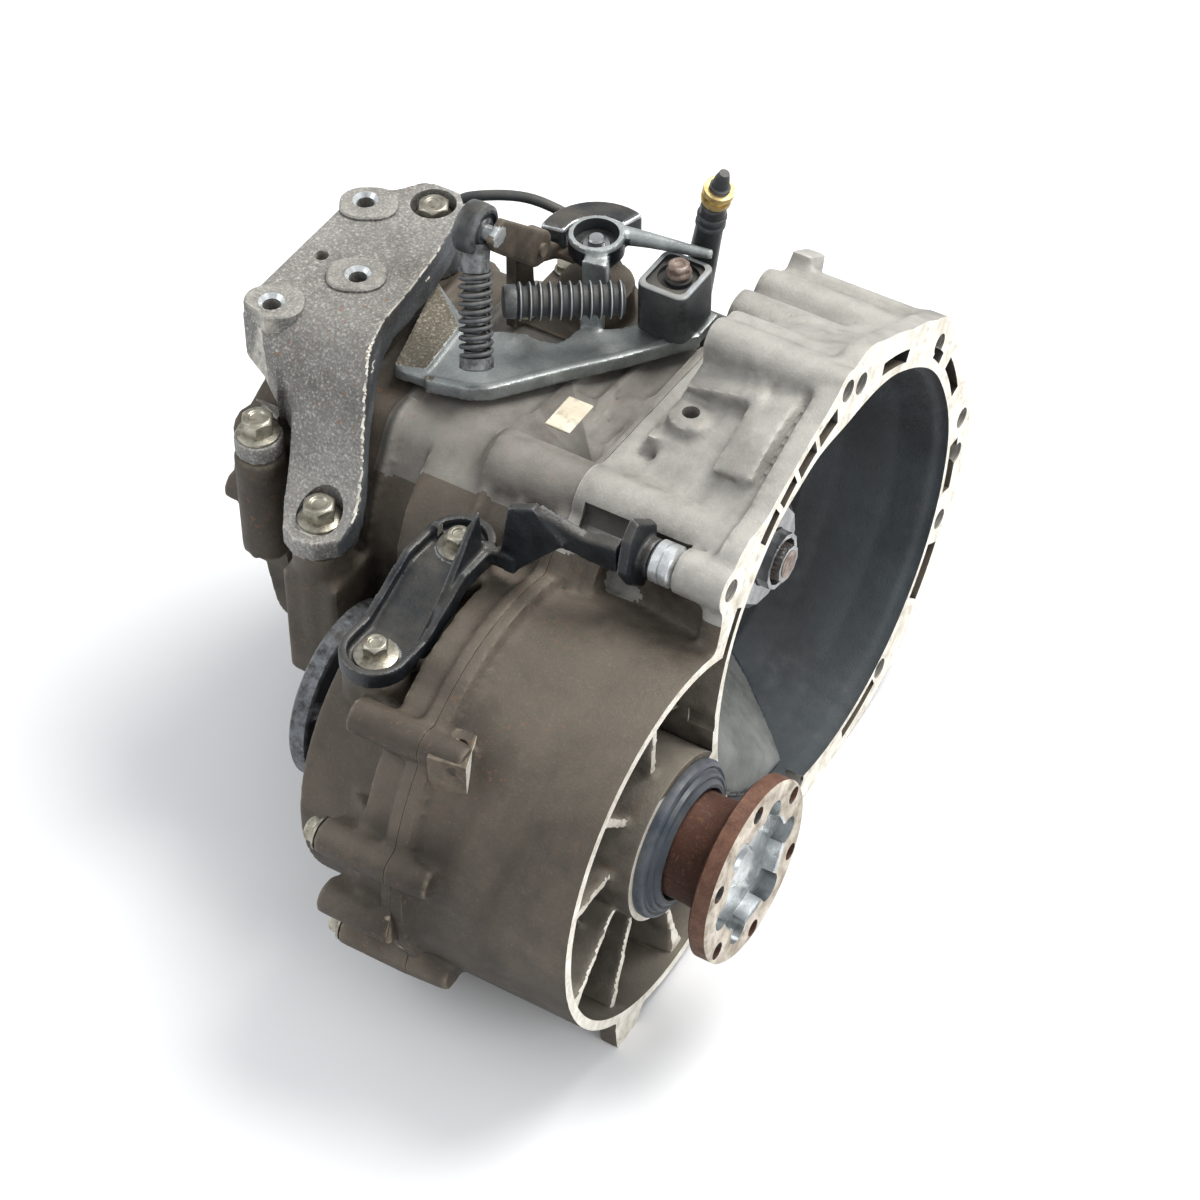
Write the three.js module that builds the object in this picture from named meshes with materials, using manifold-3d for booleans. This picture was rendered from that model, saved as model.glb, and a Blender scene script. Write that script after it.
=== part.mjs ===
// Transverse six-speed manual transmission with its mount brackets and shift linkage.
// Lengths are in millimetres. +X runs along the input shaft towards the engine, +Y is
// forward in the vehicle and +Z is up. The parts are drawn from the point where the input
// shaft axis meets the bell face, and the whole group is moved at the end so that the
// origin is the centre of the bounding box at the resting plane.
import * as THREE from 'three';
import { mergeVertices } from 'three/addons/utils/BufferGeometryUtils.js';
import Module from 'manifold-3d';

const wasm = await Module();
wasm.setup();

// ---- driving dimensions ---------------------------------------------------------------
const TAU = Math.PI * 2;
const GAP = 0.3;                     // clearance between pieces that touch
const DETAIL = 0.42;                 // share of the facets named on each round
const REST_Z = -166;                 // lowest plane of the castings
const PLACE = [140, 63, 166];        // moves the drawing to the group's own origin

const BELL_DEPTH = 84;               // bell face to the outside of the bell's back wall
const BELL_WALL = 8;
const BELL_BORE_R = 138;
const BORE = [8, -10];               // centre of the bell's opening, as Y and Z
const SPLIT_X = -105;                // joint face between the two castings
const CASE_END_X = -312;
const COVER_END_X = -330;

const MODULE = 4;                    // gear module
const PRESSURE_ANGLE = 20 * Math.PI / 180;
const BACKLASH = 0.6;
const CENTRE_IN_OUT = 76;            // input shaft to either output shaft
const CENTRE_A_DIFF = 124;
const CENTRE_B_DIFF = 136;
const CENTRE_IN_REV = 44;
const CENTRE_B_REV = 68;
const RING_TEETH = 50;
const PINION_A_TEETH = 12;
const PINION_B_TEETH = 18;
const REV_IDLER_TEETH = 12;
const REV_TEETH = 22;
// teeth on the input shaft and on the gears that run on the output shafts
const STAGES = [
  { name: 'gear_1', shaft: 'A', driver: 10, driven: 28, x: -138, dog: -1 },
  { name: 'gear_2', shaft: 'A', driver: 14, driven: 24, x: -194, dog: 1 },
  { name: 'gear_3', shaft: 'A', driver: 18, driven: 20, x: -212, dog: -1 },
  { name: 'gear_4', shaft: 'A', driver: 20, driven: 18, x: -268, dog: 1 },
  { name: 'gear_5', shaft: 'B', driver: 18, driven: 20, x: -212, dog: -1 },
  { name: 'gear_6', shaft: 'B', driver: 20, driven: 18, x: -268, dog: 1 },
];
const GEAR_WIDTH = 16;
const DOG_WIDTH = 9;
const DOG_R = 25.5;
const OUT_SHAFT_R = 15;
const IN_SHAFT_R = 14;
const HUB_WIDTH = 20;
const SLEEVE_R = 38;
// hub centres along X
const SYNCHROS = [
  { name: '12', shaft: 'A', x: -158, rodAngle: 104, rodR: 57, rod: [-262, -150] },
  { name: '34', shaft: 'A', x: -232, rodAngle: 72, rodR: 57, rod: [-290, -200] },
  { name: '56', shaft: 'B', x: -232, rodAngle: 232, rodR: 57, rod: [-290, -200] },
  { name: 'rev', shaft: 'B', x: -184, rodAngle: 268, rodR: 57, rod: [-262, -170] },
];

const DIFF = [-175, -45];            // differential axis, as Y and Z
const FLANGE_R = 54;                 // drive flange disc
const FLANGE_PCD = 94;
const SELECT = [-178, 38];           // selector shaft axis, as X and Y
const RELAY_PIVOT = [12, 150];       // relay lever axis, as Y and Z
const STUD = [-30, 188];             // cable ball stud on the relay lever, as Y and Z
const RELEASE = [Math.cos(0.611), Math.sin(0.611)]; // the way the clutch release lever points
const RELEASE_ARM = 104;             // clutch push rod, from the input shaft axis
const RELEASE_PIVOT = -60;

// where two circles about p and q meet, on the given side
function meet(p, rp, q, rq, side) {
  const dx = q[0] - p[0];
  const dy = q[1] - p[1];
  const d = Math.hypot(dx, dy);
  const a = (rp * rp - rq * rq + d * d) / (2 * d);
  const h = Math.sqrt(rp * rp - a * a) * side;
  return [p[0] + (a * dx - h * dy) / d, p[1] + (a * dy + h * dx) / d];
}
const INPUT = [0, 0];
const OUT_A = meet(INPUT, CENTRE_IN_OUT, DIFF, CENTRE_A_DIFF, -1);
const OUT_B = meet(INPUT, CENTRE_IN_OUT, DIFF, CENTRE_B_DIFF, 1);
const REV = meet(INPUT, CENTRE_IN_REV, OUT_B, CENTRE_B_REV, 1);
const AXIS_OF = { A: OUT_A, B: OUT_B };

// ---- solids ---------------------------------------------------------------------------
const facets = (n) => (n <= 6 ? n : Math.max(8, Math.round(n * DETAIL)));

function toSolid(geometry) {
  const plain = geometry.clone();
  plain.deleteAttribute('normal');
  plain.deleteAttribute('uv');
  const welded = mergeVertices(plain, 1e-4);
  const p = welded.attributes.position.array;
  const index = welded.index.array;
  const tris = [];
  let volume = 0;
  for (let i = 0; i < index.length; i += 3) {
    const [a, b, c] = [index[i], index[i + 1], index[i + 2]];
    if (a === b || b === c || a === c) continue;
    tris.push(a, b, c);
    const va = new THREE.Vector3(p[3 * a], p[3 * a + 1], p[3 * a + 2]);
    const vb = new THREE.Vector3(p[3 * b], p[3 * b + 1], p[3 * b + 2]);
    const vc = new THREE.Vector3(p[3 * c], p[3 * c + 1], p[3 * c + 2]);
    volume += va.dot(vb.cross(vc));
  }
  if (volume < 0) tris.reverse();
  const mesh = new wasm.Mesh({
    numProp: 3,
    vertProperties: new Float32Array(p),
    triVerts: new Uint32Array(tris),
  });
  return new wasm.Manifold(mesh);
}

function union(...solids) {
  return solids.flat().reduce((a, b) => a.add(b));
}

function cut(solid, ...tools) {
  return tools.flat().reduce((a, b) => a.subtract(b), solid);
}

// the matrix that turns a drawing's own z axis into the named axis
function towards(axis) {
  const m = new THREE.Matrix4();
  const vx = new THREE.Vector3(1, 0, 0);
  const vy = new THREE.Vector3(0, 1, 0);
  const vz = new THREE.Vector3(0, 0, 1);
  if (axis === 'X') m.makeBasis(vy, vz, vx);
  if (axis === 'Y') m.makeBasis(vz, vx, vy);
  return m;
}

// a flat outline pushed along an axis from lo to hi; the outline is in YZ, ZX or XY
function slab(axis, points, lo, hi, holes = []) {
  const shape = new THREE.Shape(points.map(([a, b]) => new THREE.Vector2(a, b)));
  for (const [a, b, r] of holes) {
    const path = new THREE.Path();
    path.absarc(a, b, r, 0, TAU, true);
    shape.holes.push(path);
  }
  const g = new THREE.ExtrudeGeometry(shape, { depth: hi - lo, bevelEnabled: false, curveSegments: 12 });
  g.translate(0, 0, lo);
  g.applyMatrix4(towards(axis));
  return toSolid(g);
}

// a round bar along an axis, centred on (a, b) in that axis's own drawing plane
function bar(axis, a, b, r, lo, hi, n = 32, rEnd = r) {
  const g = new THREE.CylinderGeometry(rEnd, r, hi - lo, facets(n));
  g.rotateX(Math.PI / 2);
  g.translate(a, b, (hi + lo) / 2);
  g.applyMatrix4(towards(axis));
  return toSolid(g);
}

// a hole for a bar of radius r: its flats, not its corners, stand at that radius
function bore(axis, a, b, r, lo, hi, n = 32) {
  return bar(axis, a, b, r / Math.cos(Math.PI / facets(n)), lo, hi, n);
}

// a turned piece: the profile lists [along the axis, radius]
function turned(axis, a, b, profile, n = 40) {
  const g = new THREE.LatheGeometry(profile.map(([s, r]) => new THREE.Vector2(r, s)), facets(n));
  g.rotateX(Math.PI / 2);
  g.translate(a, b, 0);
  g.applyMatrix4(towards(axis));
  return toSolid(g);
}

function block(x0, x1, y0, y1, z0, z1) {
  const g = new THREE.BoxGeometry(x1 - x0, y1 - y0, z1 - z0);
  g.translate((x0 + x1) / 2, (y0 + y1) / 2, (z0 + z1) / 2);
  return toSolid(g);
}

// a bar with flat sides between two points, w across and h deep
function strut(p, q, w, h, n = 4) {
  const a = new THREE.Vector3(...p);
  const b = new THREE.Vector3(...q);
  const along = b.clone().sub(a);
  const g = new THREE.CylinderGeometry(Math.SQRT1_2, Math.SQRT1_2, along.length(), n, 1);
  if (n === 4) g.rotateY(Math.PI / 4);
  g.scale(w, 1, h);
  g.rotateX(Math.PI / 2);
  g.translate(0, 0, along.length() / 2);
  const z = along.clone().normalize();
  const up = Math.abs(z.z) > 0.95 ? new THREE.Vector3(0, 1, 0) : new THREE.Vector3(0, 0, 1);
  const x = up.clone().cross(z).normalize();
  const y = z.clone().cross(x);
  g.applyMatrix4(new THREE.Matrix4().makeBasis(x, y, z).setPosition(a));
  return toSolid(g);
}

// a round rod between two points
function rod(p, q, r, n = 16, rEnd = r) {
  const a = new THREE.Vector3(...p);
  const b = new THREE.Vector3(...q);
  const g = new THREE.CylinderGeometry(rEnd, r, a.distanceTo(b), facets(n));
  g.translate(0, a.distanceTo(b) / 2, 0);
  const turn = new THREE.Quaternion();
  turn.setFromUnitVectors(new THREE.Vector3(0, 1, 0), b.clone().sub(a).normalize());
  g.applyQuaternion(turn);
  g.translate(a.x, a.y, a.z);
  return toSolid(g);
}

function circle(a, b, r, sides = 24) {
  const points = [];
  const n = facets(sides);
  for (let i = 0; i < n; i += 1) {
    const turn = TAU * i / n;
    points.push([a + r * Math.cos(turn), b + r * Math.sin(turn)]);
  }
  return points;
}

// the convex outline around a list of points
function hull(points) {
  const p = [...points].sort((u, v) => u[0] - v[0] || u[1] - v[1]);
  const cross = (o, u, v) => (u[0] - o[0]) * (v[1] - o[1]) - (u[1] - o[1]) * (v[0] - o[0]);
  const half = (list) => {
    const out = [];
    for (const q of list) {
      while (out.length > 1 && cross(out[out.length - 2], out[out.length - 1], q) <= 1e-6) out.pop();
      out.push(q);
    }
    out.pop();
    return out;
  };
  return [...half(p), ...half(p.reverse())];
}

// ---- materials ------------------------------------------------------------------------
const paint = (color, roughness, metalness) => ({ color, roughness, metalness });
const CAST = paint(0x8d8a84, 0.6, 0.7);
const CAST_DARK = paint(0x6b655e, 0.65, 0.6);
const CAST_BRACKET = paint(0x8f9092, 0.6, 0.7);
const BLACK_STEEL = paint(0x24272c, 0.5, 0.4);
const BRIGHT = paint(0xc9ccd0, 0.35, 0.9);
const STEEL = paint(0x9a9b9d, 0.35, 0.95);
const ZINC = paint(0xa39a7c, 0.4, 0.9);
const RUSTY = paint(0x6a4534, 0.75, 0.6);
const RUBBER = paint(0x23262b, 0.8, 0.0);
const PLASTIC = paint(0x1d1f22, 0.55, 0.0);
const BRASS = paint(0xb59b62, 0.4, 0.9);

const group = new THREE.Group();
group.name = 'manual_transmission';

function add(name, solid, look) {
  const m = solid.simplify(0.08).getMesh();
  const g = new THREE.BufferGeometry();
  g.setAttribute('position', new THREE.BufferAttribute(new Float32Array(m.vertProperties), 3));
  g.setIndex(new THREE.BufferAttribute(new Uint32Array(m.triVerts), 1));
  const flat = g.toNonIndexed();
  flat.computeVertexNormals();
  const mesh = new THREE.Mesh(flat, new THREE.MeshStandardMaterial(look));
  mesh.name = name;
  group.add(mesh);
}

// ---- gears ----------------------------------------------------------------------------
const inv = (a) => Math.tan(a) - a;

function gearOutline(teeth, a, b, phase) {
  const pitch = teeth * MODULE / 2;
  const base = pitch * Math.cos(PRESSURE_ANGLE);
  const tip = pitch + 0.8 * MODULE;
  const root = pitch - 1.05 * MODULE;
  const halfAt = (r) => Math.PI / (2 * teeth) + inv(PRESSURE_ANGLE)
    - inv(Math.acos(Math.min(1, base / r))) - BACKLASH / (2 * pitch);
  const foot = Math.max(base, root);
  const wide = halfAt(foot) * (teeth < 17 ? 0.86 : 1);
  const top = halfAt(tip);
  const points = [];
  for (let i = 0; i < teeth; i += 1) {
    const c = phase + TAU * i / teeth;
    for (const [r, t] of [[root, -wide], [tip, -top], [tip, top], [root, wide]]) {
      points.push([a + r * Math.cos(c + t), b + r * Math.sin(c + t)]);
    }
  }
  return points;
}

function gear(teeth, axis, x0, x1, phase) {
  return slab('X', gearOutline(teeth, axis[0], axis[1], phase), x0, x1);
}

// the phase that puts a gap of the mate where the driver's tooth meets it
function matePhase(driverTeeth, driverAxis, driverPhase, teeth, axis) {
  const aim = Math.atan2(axis[1] - driverAxis[1], axis[0] - driverAxis[0]);
  const step = TAU / driverTeeth;
  const offset = (((aim - driverPhase) % step) + step) % step;
  return aim + Math.PI + offset * driverTeeth / teeth + Math.PI / teeth;
}

const drivers = new Map();
for (const s of STAGES) drivers.set(s.x, s.driver);
let inputShaft = union(
  bar('X', 0, 0, IN_SHAFT_R, -296, -46, 28),
  bar('X', 0, 0, 11.5, -46.5, -28, 24),
);
for (const [x, teeth] of drivers) inputShaft = inputShaft.add(gear(teeth, INPUT, x, x + GEAR_WIDTH, 0));
add('input_shaft', inputShaft, STEEL);

for (const s of STAGES) {
  const axis = AXIS_OF[s.shaft];
  const phase = matePhase(s.driver, INPUT, 0, s.driven, axis);
  const wheel = gear(s.driven, axis, s.x, s.x + GEAR_WIDTH, phase);
  const dogX = s.dog < 0 ? s.x - DOG_WIDTH : s.x + GEAR_WIDTH;
  const dog = bar('X', axis[0], axis[1], DOG_R, dogX - 0.01, dogX + DOG_WIDTH + 0.01, 24);
  const hole = bore('X', axis[0], axis[1], OUT_SHAFT_R + GAP, s.x - 20, s.x + GEAR_WIDTH + 20, 24);
  add(s.name, cut(wheel.add(dog), hole), STEEL);
}

const revDriver = drivers.get(-138);
const revPhase = matePhase(revDriver, INPUT, 0, REV_IDLER_TEETH, REV);
const revIdler = cut(
  gear(REV_IDLER_TEETH, REV, -166, -122, revPhase),
  bore('X', REV[0], REV[1], 8.7 + GAP, -170, -118, 20),
);
add('reverse_idler', revIdler, STEEL);
add('reverse_pin', bar('X', REV[0], REV[1], 8.7, -190, -88.4, 20), STEEL);
const revMate = matePhase(REV_IDLER_TEETH, REV, revPhase, REV_TEETH, OUT_B);
const revGear = gear(REV_TEETH, OUT_B, -164, -148, revMate);
add('reverse_gear', cut(
  revGear.add(bar('X', OUT_B[0], OUT_B[1], DOG_R, -173, -163.9, 24)),
  bore('X', OUT_B[0], OUT_B[1], OUT_SHAFT_R + GAP, -180, -140, 24),
), STEEL);

const PINION = [-119, -93];
for (const [shaft, teeth] of [['A', PINION_A_TEETH], ['B', PINION_B_TEETH]]) {
  const axis = AXIS_OF[shaft];
  const phase = matePhase(RING_TEETH, DIFF, 0, teeth, axis);
  const parts = [
    bar('X', axis[0], axis[1], OUT_SHAFT_R, -292, -88.5, 24),
    gear(teeth, axis, PINION[0], PINION[1], phase),
  ];
  for (const s of SYNCHROS.filter((t) => t.shaft === shaft)) {
    parts.push(bar('X', axis[0], axis[1], DOG_R, s.x - HUB_WIDTH / 2, s.x + HUB_WIDTH / 2, 24));
  }
  add(`output_shaft_${shaft.toLowerCase()}`, union(parts), STEEL);
}

for (const s of SYNCHROS) {
  const [y, z] = AXIS_OF[s.shaft];
  const h = HUB_WIDTH / 2;
  const profile = [
    [-h, 0], [-h, SLEEVE_R], [-4.5, SLEEVE_R], [-4.5, 33.5], [4.5, 33.5], [4.5, SLEEVE_R],
    [h, SLEEVE_R], [h, 0],
  ].map(([a, r]) => [a + s.x, r]);
  const hole = bore('X', y, z, DOG_R + GAP, s.x - 20, s.x + 20, 32);
  add(`sleeve_${s.name}`, cut(turned('X', y, z, profile, 32), hole), BRIGHT);
  const t = s.rodAngle * Math.PI / 180;
  const at = (r, d) => [y + r * Math.cos(t + d), z + r * Math.sin(t + d)];
  const arc = [];
  for (let i = -6; i <= 6; i += 1) arc.push(at(45, i * 0.2));
  for (let i = 6; i >= -6; i -= 1) arc.push(at(34, i * 0.2));
  const [ry, rz] = at(s.rodR, 0);
  add(`fork_${s.name}`, union(
    slab('X', arc, s.x - 4, s.x + 4),
    slab('X', [at(42, -0.3), at(57, -0.09), at(57, 0.09), at(42, 0.3)], s.x - 4, s.x + 4),
    bar('X', ry, rz, 5, s.rod[0], s.rod[1], 16),
  ), STEEL);
}

// ---- differential ---------------------------------------------------------------------
const [DY, DZ] = DIFF;
add('ring_gear', cut(
  gear(RING_TEETH, DIFF, -119, -93, 0),
  bore('X', DY, DZ, 61.6 + GAP, -130, -80, 48),
), STEEL);
add('diff_case', cut(
  turned('X', DY, DZ, [
    [-178, 0], [-178, 25], [-160, 25], [-152, 58], [-122, 58], [-122, 80], [-119.3, 80],
    [-119.3, 61.6], [-96, 61.6], [-88, 40], [-88, 25], [-64, 25], [-64, 0],
  ], 40),
  turned('X', DY, DZ, [
    [-149, 0], [-149, 48], [-108, 48], [-108, 0],
  ], 32),
  bore('X', DY, DZ, 16 + GAP, -190, -50, 24),
  bar('Y', -128, DY, 30, -400, 400, 24).subtract(block(-400, 400, DY - 30, DY + 30, -400, 400)),
), CAST_DARK);

function driveFlange(face, sign) {
  const along = (list) => list.map(([s, r]) => [face + sign * s, r]);
  const neck = sign > 0 ? -52 : -32;
  const body = turned('X', DY, DZ, along([
    [0, 0], [0, FLANGE_R], [-12, FLANGE_R], [-15, 35], [-20, 32], [neck, 32], [neck, 16],
    [sign > 0 ? -176 : -86, 16], [sign > 0 ? -176 : -86, 0],
  ]), 48);
  const lo = Math.min(face, face - sign * 9);
  const hi = Math.max(face, face - sign * 9);
  const tools = [bar('X', DY, DZ, 33, lo, hi, 36)];
  for (let i = 0; i < 6; i += 1) {
    const t = TAU * (i + 0.5) / 6;
    const y = DY + FLANGE_PCD / 2 * Math.cos(t);
    const z = DZ + FLANGE_PCD / 2 * Math.sin(t);
    tools.push(bar('X', y, z, 5.2, Math.min(face, face - sign * 20), Math.max(face, face - sign * 20), 16));
    const u = TAU * i / 6;
    tools.push(bar('X', DY + 34 * Math.cos(u), DZ + 34 * Math.sin(u), 8, lo, hi, 16));
  }
  return cut(body, tools);
}
add('flange_right', driveFlange(50, 1), RUSTY);
add('flange_left', driveFlange(-218, -1), RUSTY);

function seal(x0, x1) {
  return cut(bar('X', DY, DZ, 39, x0, x1, 40), bore('X', DY, DZ, 32 + GAP, x0 - 1, x1 + 1, 40));
}
add('seal_right', seal(-6, 5), RUBBER);
add('seal_left', seal(-192, -182), RUBBER);

// ---- clutch housing -------------------------------------------------------------------
// the bell's outer outline, as angle in degrees and radius
const BELL_OUTLINE = [
  [-160, 153], [-140, 154], [-125, 156], [-110, 158], [-98, 166], [-90, 166], [-80, 168],
  [-68, 173], [-55, 177], [-42, 177], [-30, 171], [-22, 176], [-12, 178], [-2, 176],
  [8, 166], [20, 160], [30, 164], [38, 165], [46, 158], [58, 152], [70, 153], [80, 158],
  [90, 151], [100, 145], [112, 143], [124, 146], [134, 162], [142, 162], [150, 152],
  [162, 146], [172, 156], [180, 158], [190, 152],
];
function bellOutline(grow) {
  return BELL_OUTLINE.map(([deg, r]) => {
    const t = deg * Math.PI / 180;
    return [(r + grow) * Math.cos(t), Math.max(REST_Z, (r + grow) * Math.sin(t))];
  });
}
const BELL_HOLES = [
  [120, 88], [4, 142], [20, 135], [163, -2], [160, -28], [144, -70], [75, -139], [-27, -146],
  [-121, 98],
];
const BARREL_R = 115;
const CASE_AXES = [[OUT_A, 64], [INPUT, 50], [OUT_B, 64], [REV, 30], [[32, 58], 24]];
function caseOutline(grow, axes = CASE_AXES) {
  return hull(axes.flatMap(([[y, z], r]) => circle(y, z, r + grow, 44)));
}
// behind second gear the case draws in towards the smaller gears
const STEP_X = -200;
const REAR_AXES = [[OUT_A, 48], [[-86, 79], 8], [[-54, 78], 8], ...CASE_AXES.slice(1)];
const BARREL_CAVITY_R = 107;

let clutchHousing = union(
  slab('X', bellOutline(0), -12, 0),
  slab('X', bellOutline(-7), -34, -11.9),
  slab('X', bellOutline(-16), -60, -33.9),
  slab('X', bellOutline(-26), -BELL_DEPTH, -59.9),
  slab('X', caseOutline(7), SPLIT_X, -BELL_DEPTH + 0.1),
  bar('X', DY, DZ, BARREL_R, SPLIT_X, 0, 64),
  bar('X', DY, DZ, 121, SPLIT_X, -98, 64),
);
clutchHousing = clutchHousing.subtract(bar('X', -121, 98, 15, -90, -31, 24));
for (const [y, z] of BELL_HOLES) {
  const back = y === -121 ? -31 : -BELL_DEPTH;
  clutchHousing = clutchHousing.add(bar('X', y, Math.max(z, REST_Z + 13), 13, back, 0, 20));
}
clutchHousing = union(
  clutchHousing,
  bar('X', -82, 88, 17, SPLIT_X, -22, 24),
  slab('X', [[-110, 40], [-60, 60], [-60, 100], [-82, 104], [-100, 84]], SPLIT_X, -60),
  slab('Z', [[-96, -52], [-58, -50], [-58, -12], [-84, -12]], 60, 110),
  bar('X', 98, 99, 14, -104, -3, 24),
  bar('X', 68, 104, 15, -104, -12, 24),
  slab('X', [[96, 80], [124, 84], [130, 98], [118, 110], [108, 104]], -98, 0),
  slab('X', [[112, 80], [134, 84], [140, 104], [120, 116]], -98, -84),
  slab('X', [[-236, -166], [-214, -166], [-200, -140], [-224, -128], [-238, -146]], -12, 0),
);
const bellCavity = turned('X', ...BORE, [
  [1, 0], [1, BELL_BORE_R], [-4, BELL_BORE_R - 1], [-14, 132], [-34, 127], [-60, 118],
  [-76, 110], [-76, 0],
], 64);
const recess = cut(
  bar('X', DY, DZ, 103, -36, 1, 56),
  bar('X', DY, DZ, 50, -40, 2, 40),
  [0, 1, 2, 3, 4, 5, 6, 7].map((i) => {
    const t = (96 + 36 * i) * Math.PI / 180;
    const p = [DY + 40 * Math.cos(t), DZ + 40 * Math.sin(t)];
    const q = [DY + 110 * Math.cos(t), DZ + 110 * Math.sin(t)];
    const n = [-4 * Math.sin(t), 4 * Math.cos(t)];
    return slab('X', [
      [p[0] - n[0], p[1] - n[1]], [q[0] - n[0], q[1] - n[1]],
      [q[0] + n[0], q[1] + n[1]], [p[0] + n[0], p[1] + n[1]],
    ], -40, -6);
  }),
  bar('X', ...BORE, 146, -80, 10, 56),
);
const diffBoss = union(
  bar('X', DY, DZ, 50, -88, 0, 40),
  slab('X', [[-175, -95], [-175, 5], [-118, 5], [-118, -95]], -80, -20),
);
clutchHousing = cut(clutchHousing, bellCavity, recess).add(diffBoss);
clutchHousing = cut(
  clutchHousing,
  bar('X', DY, DZ, BARREL_CAVITY_R, SPLIT_X - 1, -88, 56),
  cut(bar('X', DY, DZ, BARREL_CAVITY_R, -90, -44, 56), bar('X', DY, DZ, 50, -95, -40, 40),
    bar('X', ...BORE, 148, -96, 10, 56)),
  slab('X', caseOutline(1), SPLIT_X - 1, -88),
  bore('X', DY, DZ, 39 + GAP, -7, 1, 40),
  bar('X', DY, DZ, 33, -20, 1, 36),
  bore('X', DY, DZ, 25 + GAP, -90, -6, 32),
  bore('X', 0, 0, IN_SHAFT_R + GAP, -90, -70, 28),
  bar('X', RELEASE_ARM * RELEASE[0], RELEASE_ARM * RELEASE[1], 9, -100, -60, 20),
  bar('Z', -76, -32, 6, 90, 130, 16),
  bar('Z', -40, -60, 7, -180, -120, 16),
);
for (const [y, z] of BELL_HOLES) {
  const back = y === -121 ? -40 : -30;
  clutchHousing = clutchHousing.subtract(bar('X', y, Math.max(z, REST_Z + 13), 5.6, back, 1, 16));
}
// the ball stud the release lever rocks on
clutchHousing = clutchHousing.add(
  bar('X', RELEASE_PIVOT * RELEASE[0], RELEASE_PIVOT * RELEASE[1], 4, -77, -60.2, 16));
clutchHousing = cut(clutchHousing, slab('X', [
  [-150, 3], [-146, 0], [-138, 0], [-134, 4], [-134, 11], [-138, 15], [-146, 15], [-150, 12],
], -16, 1));

// ---- gearbox housing ------------------------------------------------------------------
const SPLIT_R = 120;
const SPLIT_BOLTS = [
  [DY + SPLIT_R * Math.cos(2.9), DZ + SPLIT_R * Math.sin(2.9)],
  [DY + SPLIT_R * Math.cos(3.7), DZ + SPLIT_R * Math.sin(3.7)],
  [DY + SPLIT_R * Math.cos(4.3), DZ + SPLIT_R * Math.sin(4.3)],
];
let gearHousing = union(
  slab('X', caseOutline(7), STEP_X, SPLIT_X - GAP),
  slab('X', caseOutline(7, REAR_AXES), CASE_END_X, STEP_X + 0.1),
  bar('X', DY, DZ, BARREL_R, -130.5, SPLIT_X - GAP, 64),
  bar('X', DY, DZ, 121, -113, SPLIT_X - GAP, 64),
  bar('X', DY, DZ, 96, -182, -130.4, 56),
  bar('X', -82, 88, 17, -165, SPLIT_X - GAP, 24),
  slab('X', [[-118, 20], [-60, 60], [-60, 100], [-82, 104], [-110, 84]], -164, SPLIT_X - GAP),
  // pads under the brackets, the selector cover and the lower torque mount
  bar('Z', -151, -150, 19, 0, 73, 24),
  bar('Z', -156, -225, 19, -30, 53, 24),
  bar('Z', -242, -152, 17, -40, 39, 24),
  slab('Z', [[-260, -168], [-224, -168], [-224, -90], [-260, -90]], -60, 20),
  bar('Z', -297, -130, 15, -10, 64, 24),
  slab('Z', [[-312, -128], [-286, -128], [-286, -80], [-312, -80]], -30, 30),
  bar('Z', -282, 30, 16, 60, 91, 24),
  slab('Z', [[-218, 6], [-142, 6], [-142, 68], [-218, 68]], 60, 92),
  slab('X', [[-110, -80], [-20, -90], [-34, REST_Z], [-88, REST_Z]], -262, -216),
);
for (const [y, z] of SPLIT_BOLTS) {
  gearHousing = gearHousing.add(bar('X', y, z, 10.5, -150, SPLIT_X - GAP, 20));
}
gearHousing = cut(
  gearHousing,
  slab('X', caseOutline(1), STEP_X + 6, SPLIT_X),
  slab('X', caseOutline(1, REAR_AXES), -300, STEP_X + 7),
  slab('X', hull([...circle(0, 0, 24), ...circle(...OUT_A, 24), ...circle(...OUT_B, 24)]), -320, -299),
  bar('X', DY, DZ, BARREL_CAVITY_R, -126, SPLIT_X, 56),
  bar('X', DY, DZ, 62, -168, -120, 40),
  bore('X', DY, DZ, 25 + GAP, -190, -160, 32),
  bore('X', DY, DZ, 39 + GAP, -190, -180.5, 40),
  bar('Z', SELECT[0], SELECT[1], 17, 40, 100, 28),
  bore('Y', 40, -240, 8 + GAP, 40, 90, 20),
  block(-248, -230, -160, 0, REST_Z - 1, -140),
);
for (const [y, z] of SPLIT_BOLTS) {
  gearHousing = gearHousing.subtract(bar('X', y, z, 4.3, -170, SPLIT_X + 1, 16));
  clutchHousing = clutchHousing.add(bar('X', y, z, 10.5, SPLIT_X, -80, 20));
  clutchHousing = clutchHousing.subtract(bar('X', y, z, 4.3, SPLIT_X - 1, -86, 16));
}
const caseScrews = [[-151, -150, 73], [-156, -225, 53], [-242, -152, 39], [-297, -130, 64], [-282, 30, 91]];
for (const [x, y, z] of caseScrews) {
  gearHousing = gearHousing.subtract(bar('Z', x, y, 5.3, z - 26, z + 2, 16));
}
gearHousing = cut(
  gearHousing,
  rod([-285, -112, -96], [-285, -60, -60], 9.3),
);
add('clutch_housing', clutchHousing, CAST);
add('gearbox_housing', gearHousing, CAST_DARK);

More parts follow.
